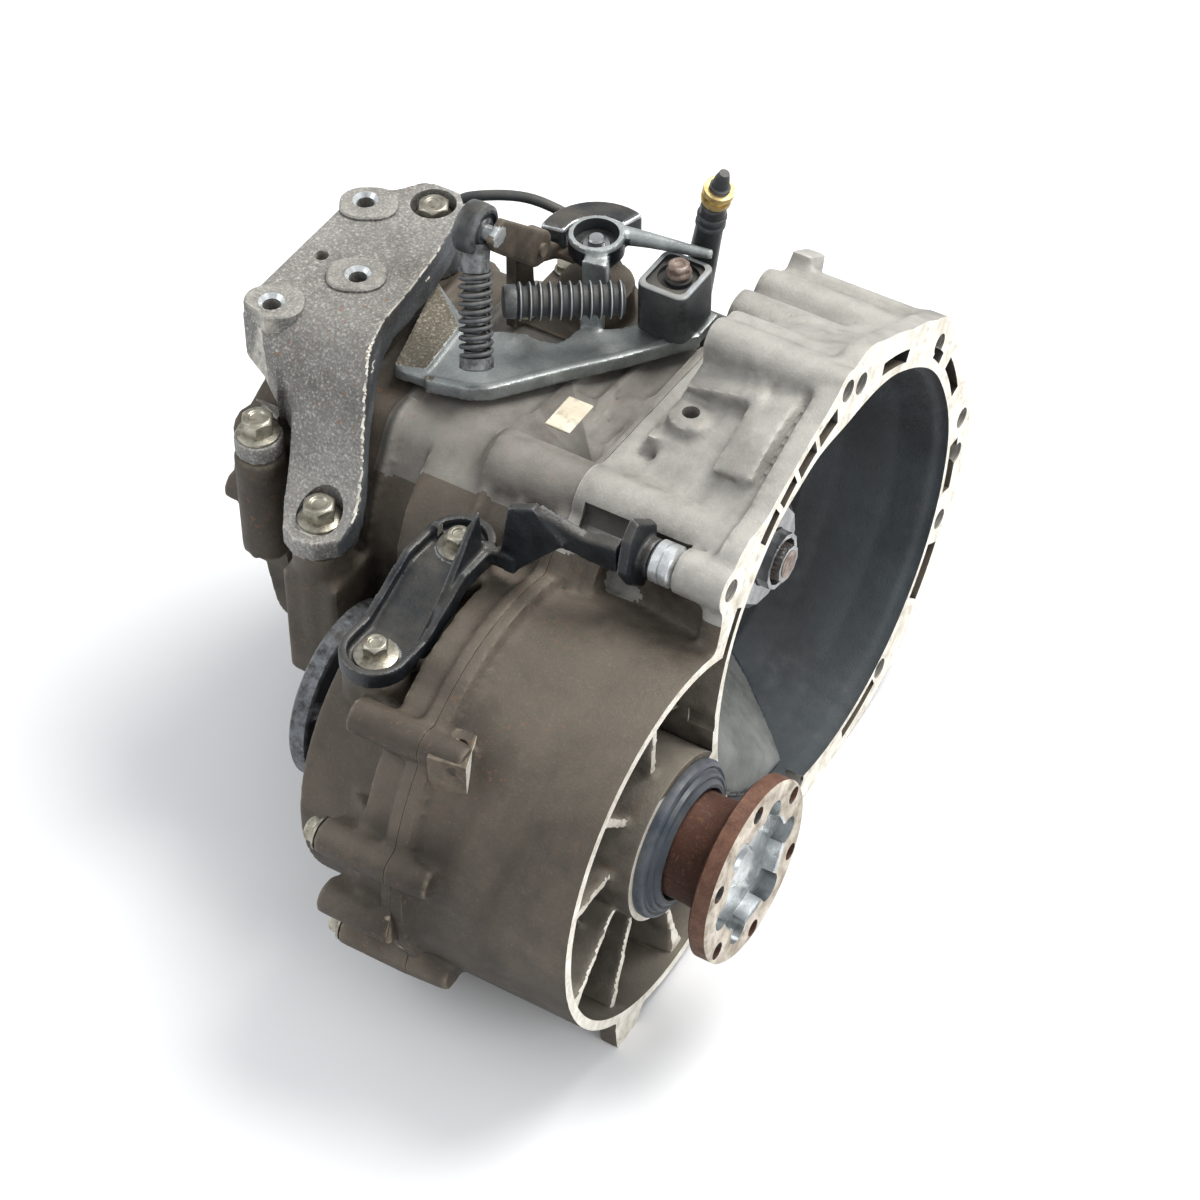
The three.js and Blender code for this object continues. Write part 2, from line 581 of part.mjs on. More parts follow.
// ---- fasteners ------------------------------------------------------------------------
// a hex bolt with a flange under its head; the head stands at "seat" and the shank runs to
// "end", which may be on either side of the seat
function bolt(axis, a, b, seat, end, shankR = 5, across = 16, headH = 8) {
  const out = Math.sign(seat - end);
  const span = (s, t) => {
    const ends = [seat + out * s, seat + out * t];
    return [Math.min(...ends), Math.max(...ends)];
  };
  return union(
    bar(axis, a, b, across * 0.72, ...span(0, 2.6), 24),
    bar(axis, a, b, across / Math.sqrt(3), ...span(2.5, 2.5 + headH), 6),
    bar(axis, a, b, shankR, Math.min(seat, end), Math.max(seat, end), 16),
  );
}
SPLIT_BOLTS.forEach(([y, z], i) => {
  add(`case_bolt_${i + 1}`, bolt('X', y, z, -150 - GAP, -90, 4, 13, 6), ZINC);
});

// ---- end cover, plug and switch -------------------------------------------------------
add('end_cover', union(
  slab('X', hull([...circle(...OUT_A, 58), ...circle(0, 0, 46), ...circle(...OUT_B, 60)]),
    -320, CASE_END_X - GAP),
  bar('X', 0, 0, 30, COVER_END_X, -319, 28),
  bar('X', OUT_A[0], OUT_A[1], 28, COVER_END_X, -319, 28),
  bar('X', OUT_B[0], OUT_B[1], 28, COVER_END_X, -319, 28),
), CAST_DARK);
add('oil_plug', union(
  rod([-285, -116, -99], [-285, -109, -94], 12, 6),
  rod([-285, -110, -94.6], [-285, -94, -83.5], 9, 20),
), ZINC);
add('reverse_switch', union(
  bar('Y', 40, -240, 8, 52, 70, 20),
  bar('Y', 40, -240, 12, 69, 76, 6),
  bar('Y', 40, -240, 9, 75, 92, 20),
), PLASTIC);

// ---- engine mount bracket -------------------------------------------------------------
const MOUNT_TOP = 135;
const MOUNT_FEET = [[-282, 30, 123, 91], [-242, -152, 55, 39], [-297, -130, 76, 64]];
const MOUNT_HOLES = [[-316, 11], [-311, -90], [-283, -46]];
const archProfile = [
  [50, MOUNT_TOP], [-85, MOUNT_TOP], [-104, 122], [-136, 72], [-160, 55], [-176, 55],
  [-176, 41], [-150, 41], [-122, 58], [-92, 106], [-78, 119], [50, 119],
];
const archPlan = [
  [-326, 22], [-308, 30], [-296, 46], [-272, 46], [-262, 32], [-253, -20], [-250, -70], [-236, -110],
  [-222, -140], [-222, -160], [-234, -174], [-250, -174], [-264, -160], [-276, -128], [-290, -112],
  [-326, -108],
];
let mountBracket = slab('X', archProfile, -340, -200).intersect(slab('Z', archPlan, 0, 200));
const sideWall = [
  [46, 124], [-80, 124], [-100, 114], [-134, 66], [-158, 54], [-158, 46], [-140, 46],
  [-124, 62], [-104, 86], [-86, 106], [-60, 112.5], [10, 112.5],
];
mountBracket = union(
  mountBracket,
  slab('X', sideWall, -262, -200).intersect(slab('Z', [
    [-262, 32], [-253, -20], [-250, -70], [-236, -110], [-222, -140], [-230, -142], [-244, -112],
    [-258, -70], [-261, -20], [-270, 30],
  ], 0, 200)),
  slab('X', [[12, 124], [-100, 124], [-100, 100], [-60, 96], [12, 110]], -326, -318),
  bar('Z', -282, 30, 16, 91 + GAP, 123, 24),
  bar('Z', -297, -130, 14, 64 + GAP, 76, 24),
  slab('X', [[-80, 124], [-100, 116], [-134, 76], [-134, 66], [-122, 66], [-98, 98], [-84, 110]], -308, -294),
  bar('Z', -242, -152, 16, 39 + GAP, 54, 24),
);
for (const [x, y] of MOUNT_HOLES) {
  mountBracket = mountBracket.add(bar('Z', x, y, 14, 112, MOUNT_TOP + 2, 24));
  mountBracket = mountBracket.subtract(bar('Z', x, y, 5.2, 100, 150, 20));
}
mountBracket = mountBracket.subtract(bar('Z', -311, -41, 4, 100, 150, 16));
for (const [x, y, seat] of MOUNT_FEET) {
  mountBracket = mountBracket.subtract(bar('Z', x, y, 5.4, 30, 150, 20));
  mountBracket = mountBracket.subtract(bar('Z', x, y, 13, seat, 150, 24));
}
add('mount_bracket', mountBracket, CAST_BRACKET);
MOUNT_FEET.forEach(([x, y, seat, pad], i) => {
  add(`mount_bolt_${i + 1}`, bolt('Z', x, y, seat + GAP, pad - 20, 5, 17, 10), ZINC);
});

// ---- black support bracket ------------------------------------------------------------
const SUPPORT = [[-151, -150, 73], [-156, -225, 53]];
const plateProfile = [
  [-129, 73 + GAP], [-170, 73 + GAP], [-206, 53 + GAP], [-246, 53 + GAP], [-246, 58], [-208, 58],
  [-172, 78], [-129, 78],
];
const plan = hull([...circle(-151, -150, 20, 28), ...circle(-156, -225, 20, 28)]);
let support = slab('X', plateProfile, -200, -100).intersect(slab('Z', plan, 0, 200));
support = union(
  support,
  slab('Y', [
    [73 + GAP, -158], [78, -158], [78, -142], [101, -120], [101, -46], [96, -46], [96, -117],
    [73 + GAP, -139],
  ], -146, -126),
  slab('X', [[-206, 56], [-170, 75], [-141, 75], [-141, 112], [-150, 112]], -141, -136),
  bar('X', -121, 98, 11, -52, -46, 24),
);
for (const [x, y] of SUPPORT) {
  support = support.subtract(bar('Z', x, y, 5.4, 30, 120, 20));
  support = support.subtract(bar('Z', x, y, 13, y === -150 ? 78 : 58, 130, 24));
}
support = cut(support, bore('X', -121, 98, 5 + GAP, -60, -40, 20), bar('X', -121, 98, 12, -75, -52.2, 20));
add('support_bracket', support, BLACK_STEEL);
SUPPORT.forEach(([x, y, pad], i) => {
  add(`support_bolt_${i + 1}`, bolt('Z', x, y, pad + 5 + GAP, pad - 20, 5, 15, 9), ZINC);
});
add('support_stud', union(
  bar('X', -121, 98, 5, -62, -6, 20),
  turned('X', -121, 98, [[-45.7, 0], [-45.7, 10], [-42, 12], [-35, 12], [-31.3, 10], [-31.3, 0]], 28),
  bar('X', -121, 98, 9.5, -60, -52.3, 6),
), ZINC);

// ---- selector -------------------------------------------------------------------------
const [SX, SY] = SELECT;
add('selector_cover', cut(
  union(
    slab('Z', [[-214, 8], [-146, 8], [-142, 12], [-142, 62], [-146, 66], [-214, 66], [-218, 62], [-218, 12]],
      92 + GAP, 95.8),
    bar('Z', SX, SY, 22, 95.7, 118, 32),
    slab('X', [[2, 93], [26, 93], [20, 156], [16, 160], [8, 160], [4, 156]], -217, -210),
  ),
  bar('Z', SX, SY, 17, 92, 114, 28),
  bore('Z', SX, SY, 8 + GAP, 92, 120, 20),
).add(bar('X', RELAY_PIVOT[0], RELAY_PIVOT[1], 4, -216, -196, 16)), CAST_DARK);
add('selector_carrier', cut(
  bar('Z', SX, SY, 16.4, 93, 107, 28),
  bore('Z', SX, SY, 8 + GAP, 90, 110, 24),
), STEEL);
add('selector_shaft', union(
  bar('Z', SX, SY, 8, 50, 142, 24),
  bar('Z', SX, SY, 5, 141.9, 149, 20),
  slab('Z', [[-184, 34], [-184, 12], [-181, 6], [-175, 6], [-172, 12], [-172, 34]], 54, 66),
), STEEL);
const leverPlan = [
  [-242, -72], [-198, -66], [-186, -58], [-173, -41], [-140, -1], [-111, 38], [-111, 60],
  [-136, 60], [-142, 38], [-152, 22], [-163, 14], [-163, 19], [-172, 12], [-174, -8], [-195, -10],
  [-222, -24], [-262, 2],
];
const LEVER_Z = [99, 108];
add('gearshift_lever', cut(
  union(
    slab('Z', leverPlan, ...LEVER_Z),
    slab('Z', [[-173, 11], [-162, 14], [-162, 24], [-173, 22]], 100, 124).subtract(
      bar('Z', SX, SY, 24, 90, 121.5, 28)),
    slab('Z', [[-175, 17], [-161, 20], [-165, 32], [-176, 30]], 121.5, 148),
    bar('Z', SX, SY, 16, 136, 152, 36),
    strut([-172, 50, 146], [-110, 62, 148], 8, 6),
  ),
  bar('Z', SX, SY, 12.5, 144, 153, 32),
  bore('Z', SX, SY, 8 + GAP, 130, 150, 24),
  bore('Z', -127, 42, 4 + GAP, 90, 120, 16),
), BRIGHT);
const [PY, PZ] = RELAY_PIVOT;
add('relay_lever', cut(
  union(
    bar('X', PY, PZ, 11, -209, -198, 24),
    slab('X', [[PY - 8, PZ - 8], [PY + 4, PZ + 10], [STUD[0] + 6, STUD[1] + 8], [STUD[0] - 8, STUD[1] + 2],
      [STUD[0] - 4, STUD[1] - 8]], -203, -198),
    slab('X', [[PY, PZ - 11], [PY + 10, PZ - 3], [38, 134.5], [44, 130], [30, 129.5]], -206, -199),
    block(-200, -188, 30, 40, 129.8, 134),
    bar('X', STUD[0], STUD[1], 4.5, -218, -200, 16),
  ),
  bore('X', PY, PZ, 4 + GAP, -230, -190, 16),
), CAST_DARK);

const ROD = [0.256, -0.426, -0.868]; // the way the cable end hangs from its stud
const along = (t, dx = 0) => [-214 + dx + ROD[0] * t, STUD[0] + ROD[1] * t, STUD[1] + ROD[2] * t];
function ribbed(p, q, lowR, highR, ribs, n = 20) {
  const a = new THREE.Vector3(...p);
  const b = new THREE.Vector3(...q);
  const len = a.distanceTo(b);
  const profile = [[0, 0], [0, highR]];
  for (let i = 0; i < ribs; i += 1) {
    const s = len * (i + 1) / (ribs + 1);
    profile.push([s - len / (ribs + 1) * 0.45, lowR], [s, highR]);
  }
  profile.push([len, highR], [len, 0]);
  const g = new THREE.LatheGeometry(profile.map(([s, r]) => new THREE.Vector2(r, s)), facets(n));
  const turn = new THREE.Quaternion();
  turn.setFromUnitVectors(new THREE.Vector3(0, 1, 0), b.clone().sub(a).normalize());
  g.applyQuaternion(turn);
  g.translate(a.x, a.y, a.z);
  return toSolid(g);
}
add('select_cable_end', cut(
  union(
    bar('X', STUD[0], STUD[1], 15, -221, -207, 32),
    rod(along(8), along(22), 8, 16),
    ribbed(along(20), along(70), 7.5, 9.5, 8, 16),
    rod(along(69.9), along(77), 9.8, 16),
  ),
  bore('X', STUD[0], STUD[1], 4.5 + GAP, -218.5, -200, 20),
), PLASTIC);
add('shift_cable_end', cut(
  slab('Z', [[-144, 26], [-140, 22], [-116, 22], [-112, 26], [-112, 54], [-116, 58], [-140, 58], [-144, 54]],
    LEVER_Z[1] + GAP, 142),
  bore('Z', -127, 42, 4 + GAP, 100, 150, 16),
  cut(bar('Z', -127, 42, 15, 137, 143, 24), bar('Z', -127, 42, 8, 130, 150, 20)),
), PLASTIC);
add('shift_cable_boot', ribbed([-194, -24, 140], [-145, 13, 136], 8.5, 11, 9, 20), RUBBER);
add('shift_cable_pin', bolt('Z', -127, 42, 142 + GAP, 101, 4, 12, 5), RUSTY);

// ---- clutch actuation -----------------------------------------------------------------
const [UY, UZ] = RELEASE;
const onArm = (s, side = 0) => [s * UY - side * UZ, s * UZ + side * UY];
add('slave_cylinder', cut(
  union(
    bar('X', ...onArm(RELEASE_ARM), 16, -165, -100, 28),
    bar('X', ...onArm(RELEASE_ARM), 12, -100.1, -BELL_DEPTH - GAP, 24),
    rod([-142, 83, 66], [-126, 79, 166], 6, 16),
  ),
  bar('X', ...onArm(RELEASE_ARM), 4.5, -150, -80, 20),
), PLASTIC);
add('bleed_screw', rod([-125.7, 79, 167.6], [-122.6, 78.4, 178.6], 7.5, 16), BRASS);
add('bleed_cap', rod([-122.5, 78.3, 179], [-119.5, 77.8, 191], 5, 14, 3), RUBBER);
add('push_rod', bar('X', ...onArm(RELEASE_ARM), 4, -138, -63.6, 16), STEEL);
add('guide_sleeve', cut(
  turned('X', 0, 0, [[-75.7, 0], [-75.7, 30], [-70, 30], [-70, 17.5], [-32, 17.5], [-32, 0]], 32),
  bore('X', 0, 0, IN_SHAFT_R + GAP, -80, -20, 32),
), STEEL);
add('release_bearing', cut(
  turned('X', 0, 0, [[-54, 0], [-54, 34], [-44, 34], [-40, 30], [-40, 0]], 32),
  bore('X', 0, 0, 17.5 + GAP, -60, -30, 32),
), STEEL);
const leverArm = [
  onArm(-68, -9), onArm(-68, 9), onArm(-30, 30), onArm(0, 36), onArm(30, 30), onArm(110, 8),
  onArm(110, -8), onArm(30, -30), onArm(0, -36), onArm(-30, -30),
];
add('release_lever', cut(
  union(
    slab('X', leverArm, -63, -58),
    bar('X', ...onArm(0, 26), 3, -58.1, -54.5, 12),
    bar('X', ...onArm(0, -26), 3, -58.1, -54.5, 12),
  ),
  bore('X', 0, 0, 20.5, -70, -50, 32),
  bar('X', ...onArm(RELEASE_PIVOT), 5, -64, -59.6, 16),
), STEEL);

// ---- clutch pipe ----------------------------------------------------------------------
const pipePath = new THREE.CatmullRomCurve3([
  new THREE.Vector3(-296, 66, 100), new THREE.Vector3(-276, 60, 122), new THREE.Vector3(-240, 70, 128),
  new THREE.Vector3(-205, 80, 110), new THREE.Vector3(-182, 85, 74), new THREE.Vector3(-167.5, 85.2, 59.7),
]);
const pipeShape = new THREE.Shape(circle(0, 0, 3.2, 10).map(([a, b]) => new THREE.Vector2(a, b)));
const pipeForm = new THREE.ExtrudeGeometry(pipeShape, { extrudePath: pipePath, steps: 22 });
add('clutch_pipe', toSolid(pipeForm), RUBBER);

// ---- place the group ------------------------------------------------------------------
for (const mesh of group.children) mesh.geometry.translate(...PLACE);

export default group;
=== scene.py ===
"""The looks of a transverse six-speed manual transmission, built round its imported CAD.

Shapes are drawn in millimetres from the point where the input shaft meets the bell face,
with X along the shaft towards the engine, and are moved by PLACE into the row frame.
"""

from math import copysign, cos, radians, sin, sqrt, tau as TAU

import bmesh
import bpy
import numpy as np
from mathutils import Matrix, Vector


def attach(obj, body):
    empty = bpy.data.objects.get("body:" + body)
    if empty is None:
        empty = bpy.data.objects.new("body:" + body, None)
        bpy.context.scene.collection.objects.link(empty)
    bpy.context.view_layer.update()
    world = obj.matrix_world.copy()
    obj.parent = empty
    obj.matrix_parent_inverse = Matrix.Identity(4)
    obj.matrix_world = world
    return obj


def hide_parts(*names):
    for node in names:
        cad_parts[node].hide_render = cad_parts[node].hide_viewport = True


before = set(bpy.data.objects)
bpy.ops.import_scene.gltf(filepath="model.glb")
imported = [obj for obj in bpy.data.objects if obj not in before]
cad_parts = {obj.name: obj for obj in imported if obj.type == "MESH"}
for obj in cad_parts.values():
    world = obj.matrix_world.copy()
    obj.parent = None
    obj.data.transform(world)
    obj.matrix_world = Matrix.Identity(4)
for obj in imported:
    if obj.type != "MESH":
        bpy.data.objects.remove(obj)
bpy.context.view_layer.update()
PLACE = Vector((140, 63, 166))
# axes that several pieces share, in the plane across each
SELECTOR = (-178, 38)
CABLE_PIN = (-127, 42)
STUD_BOSS = (-121, 98)

# ---- shapes: a shape is (vertices in mm, faces) ----


def lift(axis, points, s):
    """Points of a flat drawing, in YZ, ZX or XY, at s along the axis."""
    if axis == "X":
        return [(s, a, b) for a, b in points]
    if axis == "Y":
        return [(b, s, a) for a, b in points]
    return [(a, b, s) for a, b in points]


def circle(a, b, r, n=48):
    return [(a + r * cos(TAU * i / n), b + r * sin(TAU * i / n)) for i in range(n)]


def prism(axis, points, lo, hi, top=None):
    """A flat outline pushed from lo to hi; top is the outline at hi, if it differs."""
    n = len(points)
    verts = lift(axis, points, lo) + lift(axis, top or points, hi)
    faces = [tuple(range(n))[::-1], tuple(range(n, 2 * n))]
    faces += [(i, (i + 1) % n, (i + 1) % n + n, i + n) for i in range(n)]
    return verts, faces


def bar(axis, a, b, r, lo, hi, n=48, r2=None):
    return prism(axis, circle(a, b, r, n), lo, hi, circle(a, b, r if r2 is None else r2, n))


def turned(axis, a, b, profile, n=64):
    """A turned piece; the profile is (along, radius) and closes on itself or on the axis."""
    verts, rings = [], []
    for s, r in profile:
        start = len(verts)
        if r < 1e-6:
            verts += lift(axis, [(a, b)], s)
            rings.append([start] * n)
        else:
            verts += lift(axis, circle(a, b, r, n), s)
            rings.append(list(range(start, start + n)))
    loop = profile[0][1] > 1e-6
    faces = []
    for k in range(len(rings) - (0 if loop else 1)):
        low, high = rings[k], rings[(k + 1) % len(rings)]
        for i in range(n):
            j = (i + 1) % n
            face = []
            for v in (low[i], low[j], high[j], high[i]):
                if v not in face:
                    face.append(v)
            if len(face) > 2:
                faces.append(tuple(face))
    return verts, faces


def tube(path, r, n=12, across=None):
    """A round bar along a path; r is one radius or one for each point."""
    p = [Vector(q) for q in path]
    radii = r if isinstance(r, (list, tuple)) else [r] * len(p)
    verts, faces, side = [], [], None
    for i, q in enumerate(p):
        t = (p[min(i + 1, len(p) - 1)] - p[max(i - 1, 0)]).normalized()
        if side is None:
            side = t.orthogonal().normalized() if across is None else Vector(across)
        side = (side - side.dot(t) * t).normalized()
        up = t.cross(side)
        verts += [tuple(q + radii[i] * (cos(TAU * k / n) * side + sin(TAU * k / n) * up))
            for k in range(n)]
    for i in range(len(p) - 1):
        for k in range(n):
            j = (k + 1) % n
            faces.append((i * n + k, i * n + j, (i + 1) * n + j, (i + 1) * n + k))
    last = (len(p) - 1) * n
    faces += [tuple(range(n))[::-1], tuple(range(last, last + n))]
    return verts, faces


def rod(p, q, r, r2=None, n=28):
    return tube([p, q], [r, r if r2 is None else r2], n)


def curve(points, steps=8):
    """A smooth open path through the points."""
    p = [Vector(points[0])] + [Vector(q) for q in points] + [Vector(points[-1])]
    out = []
    for i in range(1, len(p) - 2):
        for k in range(steps):
            t = k / steps
            a, b, c, d = p[i - 1], p[i], p[i + 1], p[i + 2]
            out.append(tuple(0.5 * (2 * b + (c - a) * t + (2 * a - 5 * b + 4 * c - d) * t * t
                + (3 * b - a - 3 * c + d) * t ** 3)))
    return out + [tuple(p[-2])]


def wedge(*points):
    """The convex solid round some points."""
    bm = bmesh.new()
    for p in points:
        bm.verts.new(p)
    bmesh.ops.convex_hull(bm, input=bm.verts)
    loose = [v for v in bm.verts if not v.link_faces]
    bmesh.ops.delete(bm, geom=loose, context="VERTS")
    bm.verts.index_update()
    shape = [tuple(v.co) for v in bm.verts], [tuple(v.index for v in f.verts) for f in bm.faces]
    bm.free()
    return shape


def box(x0, x1, y0, y1, z0, z1):
    return prism("Z", [(x0, y0), (x1, y0), (x1, y1), (x0, y1)], z0, z1)


def beam(p, q, w, h, up=(0, 0, 1), w2=None, h2=None):
    """A square bar between two points, w across and h along up."""
    p, q, up = Vector(p), Vector(q), Vector(up)
    t = (q - p).normalized()
    side = t.cross(up).normalized()
    high = side.cross(t)
    w2, h2 = w if w2 is None else w2, h if h2 is None else h2
    corners = []
    for c, ww, hh in ((p, w, h), (q, w2, h2)):
        for a, b in ((-1, -1), (1, -1), (1, 1), (-1, 1)):
            corners.append(tuple(c + side * a * ww / 2 + high * b * hh / 2))
    return wedge(*corners)


def hull2(points):
    """The convex outline round flat points."""
    p = sorted(set(points))

    def half(seq):
        out = []
        for q in seq:
            while len(out) > 1 and ((out[-1][0] - out[-2][0]) * (q[1] - out[-2][1])
                    - (out[-1][1] - out[-2][1]) * (q[0] - out[-2][0])) <= 0:
                out.pop()
            out.append(q)
        return out[:-1]
    return half(p) + half(p[::-1])


def rounded(x0, x1, y0, y1, r, n=6):
    out = []
    for cx, cy, start in ((x1 - r, y1 - r, 0), (x0 + r, y1 - r, 1), (x0 + r, y0 + r, 2),
            (x1 - r, y0 + r, 3)):
        for i in range(n + 1):
            t = (start + i / n) * TAU / 4
            out.append((cx + r * cos(t), cy + r * sin(t)))
    return out


# ---- building ----


def put(name, *shapes):
    verts, faces = [], []
    for v, f in shapes:
        n = len(verts)
        verts += [(Vector(p) + PLACE) / 1000 for p in v]
        faces += [tuple(i + n for i in face) for face in f]
    mesh = bpy.data.meshes.new(name)
    mesh.from_pydata(verts, [], faces)
    bm = bmesh.new()
    bm.from_mesh(mesh)
    bmesh.ops.recalc_face_normals(bm, faces=bm.faces)
    bm.to_mesh(mesh)
    bm.free()
    obj = bpy.data.objects.new(name, mesh)
    bpy.context.scene.collection.objects.link(obj)
    return obj


def settle(obj):
    """Makes what the modifiers give the object's own mesh."""
    graph = bpy.context.evaluated_depsgraph_get()
    done = bpy.data.meshes.new_from_object(obj.evaluated_get(graph), depsgraph=graph)
    old = obj.data
    obj.modifiers.clear()
    obj.data = done
    bpy.data.meshes.remove(old)
    return obj


def fuse(obj, voxel, rounds=5):
    """Melts overlapping shapes into one skin with soft cast corners."""
    melt = obj.modifiers.new("melt", "REMESH")
    melt.mode = "VOXEL"
    melt.voxel_size = voxel / 1000
    soft = obj.modifiers.new("soften", "SMOOTH")
    soft.factor = 0.5
    soft.iterations = rounds
    return settle(obj)


def shape(obj, tools, operation):
    made = []
    for i, tool in enumerate(tools):
        other = tool if isinstance(tool, bpy.types.Object) else put(f"tool{i}", tool)
        made.append(other)
        step = obj.modifiers.new(f"step{i}", "BOOLEAN")
        step.operation = operation
        step.solver = "MANIFOLD"
        step.object = other
    settle(obj)
    for other in made:
        bpy.data.objects.remove(other)
    return obj


def carve(obj, *tools):
    return shape(obj, tools, "DIFFERENCE")


def weld(obj, *tools):
    return shape(obj, tools, "UNION")


def join(obj, *others):
    """Put the meshes of the others into the first."""
    bm = bmesh.new()
    for o in (obj, *others):
        bm.from_mesh(o.data)
    bm.to_mesh(obj.data)
    bm.free()
    for o in others:
        bpy.data.objects.remove(o)
    return obj


def bevel(obj, width, segments=2, angle=35):
    edge = obj.modifiers.new("edge", "BEVEL")
    edge.width = width / 1000
    edge.segments = segments
    edge.limit_method = "ANGLE"
    edge.angle_limit = radians(angle)
    edge.harden_normals = False
    return obj


def smooth(obj, angle=35):
    mesh = obj.data
    mesh.polygons.foreach_set("use_smooth", [True] * len(mesh.polygons))
    mesh.set_sharp_from_angle(angle=radians(angle))
    return obj


# ---- materials ----


class Nodes:
    """A short way to write a material's node tree."""

    def __init__(self, name):
        self.mat = bpy.data.materials.new(name)
        self.mat.use_nodes = True
        self.tree = self.mat.node_tree
        self.shader = self.tree.nodes["Principled BSDF"]
        self.coord = self.tree.nodes.new("ShaderNodeTexCoord").outputs["Object"]
        self.geometry = self.tree.nodes.new("ShaderNodeNewGeometry")

    def link(self, value, socket):
        if isinstance(value, bpy.types.NodeSocket):
            self.tree.links.new(value, socket)
        else:
            socket.default_value = value

    def noise(self, scale, detail=4, rough=0.55, warp=0.0):
        node = self.tree.nodes.new("ShaderNodeTexNoise")
        self.link(self.coord, node.inputs["Vector"])
        node.inputs["Scale"].default_value = scale
        node.inputs["Detail"].default_value = detail
        node.inputs["Roughness"].default_value = rough
        node.inputs["Distortion"].default_value = warp
        return node.outputs["Fac"]

    def spans(self, value, a, b, c=0.0, d=1.0):
        node = self.tree.nodes.new("ShaderNodeMapRange")
        for key, v in zip(("Value", "From Min", "From Max", "To Min", "To Max"), (value, a, b, c, d)):
            self.link(v, node.inputs[key])
        return node.outputs["Result"]

    def math(self, how, a, b=0.0):
        node = self.tree.nodes.new("ShaderNodeMath")
        node.operation = how
        self.link(a, node.inputs[0])
        self.link(b, node.inputs[1])
        return node.outputs[0]

    def mix(self, share, a, b, how="MIX"):
        node = self.tree.nodes.new("ShaderNodeMix")
        node.data_type = "RGBA"
        node.blend_type = how
        self.link(share, node.inputs[0])
        self.link((*a, 1) if isinstance(a, tuple) else a, node.inputs[6])
        self.link((*b, 1) if isinstance(b, tuple) else b, node.inputs[7])
        return node.outputs[2]

    def height(self):
        node = self.tree.nodes.new("ShaderNodeSeparateXYZ")
        self.link(self.geometry.outputs["Normal"], node.inputs[0])
        return node.outputs["Z"]

    def finish(self, color, rough, metal, heights=(), strength=0.4):
        self.link(color, self.shader.inputs["Base Color"])
        self.link(rough, self.shader.inputs["Roughness"])
        self.shader.inputs["Metallic"].default_value = metal
        total = None
        for value, weight in heights:
            part = self.math("MULTIPLY", value, weight)
            total = part if total is None else self.math("ADD", total, part)
        if total is not None:
            bump = self.tree.nodes.new("ShaderNodeBump")
            bump.inputs["Strength"].default_value = strength
            bump.inputs["Distance"].default_value = 0.001
            self.link(total, bump.inputs["Height"])
            self.link(bump.outputs["Normal"], self.shader.inputs["Normal"])
        return self.mat


def hue(code):
    parts = [int(code[i:i + 2], 16) / 255 for i in (0, 2, 4)]
    return tuple(c / 12.92 if c <= 0.04045 else ((c + 0.055) / 1.055) ** 2.4 for c in parts)


def cast(name, light, dark, dust, rough=(0.5, 0.8), metal=0.35, grain=0.25, pits=1.0, rust=0.6,
        edge="d8d4c8", worn=0.75, stains=0.5, low=0.45):
    """Sand-cast metal: mottled, grainy, with painted shade below and in corners, worn bright on edges.
    """
    n = Nodes(name)
    wide = n.noise(16, 6, 0.62, 0.4)
    mid = n.noise(95, 5, 0.6)
    fine = n.noise(620, 3, 0.65)
    tone = n.math("ADD", n.math("MULTIPLY", wide, 0.62), n.math("MULTIPLY", mid, 0.38))
    color = n.mix(n.spans(tone, 0.36, 0.64), hue(dark), hue(light))
    up = n.height()
    color = n.mix(n.spans(up, 0.1, 1.0, 0.0, 0.4), color, hue(dust))
    # painted shade: faces turned downwards darken towards near-black, as deep as low
    color = n.mix(n.spans(up, 0.15, -0.7, 0.0, low), color, hue("17130f"))
    color = n.mix(n.spans(fine, 0.35, 0.65, grain, 0.0), color, hue("15130f"))
    color = n.mix(n.spans(fine, 0.55, 0.75, 0.0, grain * 1.3), color, hue("e4e0d6"))
    oil = n.noise(7, 4, 0.5, 0.8)
    color = n.mix(n.spans(oil, 0.52, 0.66, 0.0, stains), color, hue("241c15"))
    specks = n.math("MULTIPLY", n.spans(n.noise(240, 2, 0.5), 0.64, 0.69),
        n.spans(n.noise(13, 3), 0.48, 0.6))
    color = n.mix(n.math("MULTIPLY", specks, rust), color, hue("8c5e40"))
    point = n.geometry.outputs["Pointiness"]
    # painted shade: hollow corners, found by low pointiness, darken towards near-black
    color = n.mix(n.spans(point, 0.49, 0.42, 0.0, 0.7), color, hue("191511"))
    rubbed = n.math("MULTIPLY", n.spans(point, 0.53, 0.6), n.spans(n.noise(130, 4, 0.7), 0.3, 0.6))
    color = n.mix(n.math("MULTIPLY", rubbed, worn), color, hue(edge))
    roughness = n.spans(mid, 0.3, 0.7, rough[0], rough[1])
    return n.finish(color, roughness, metal, ((fine, 0.55 * pits), (mid, 0.9 * pits),
        (n.noise(1500, 2), 0.25 * pits)), 0.45)


def worked(name, light, dark, rough=0.4, metal=0.7, stain=0.4, scale=60):
    """A machined, sawn or plated face with stains."""
    n = Nodes(name)
    mid = n.noise(scale, 5, 0.6, 0.3)
    fine = n.noise(900, 2)
    color = n.mix(n.spans(mid, 0.35, 0.65, 0.0, 1.0), hue(light), hue(dark))
    color = n.mix(n.spans(n.noise(150, 3), 0.56, 0.7, 0.0, stain), color, hue("5b4a38"))
    return n.finish(color, n.spans(mid, 0.3, 0.7, rough - 0.08, rough + 0.14), metal,
        ((fine, 0.3), (mid, 0.3)), 0.25)


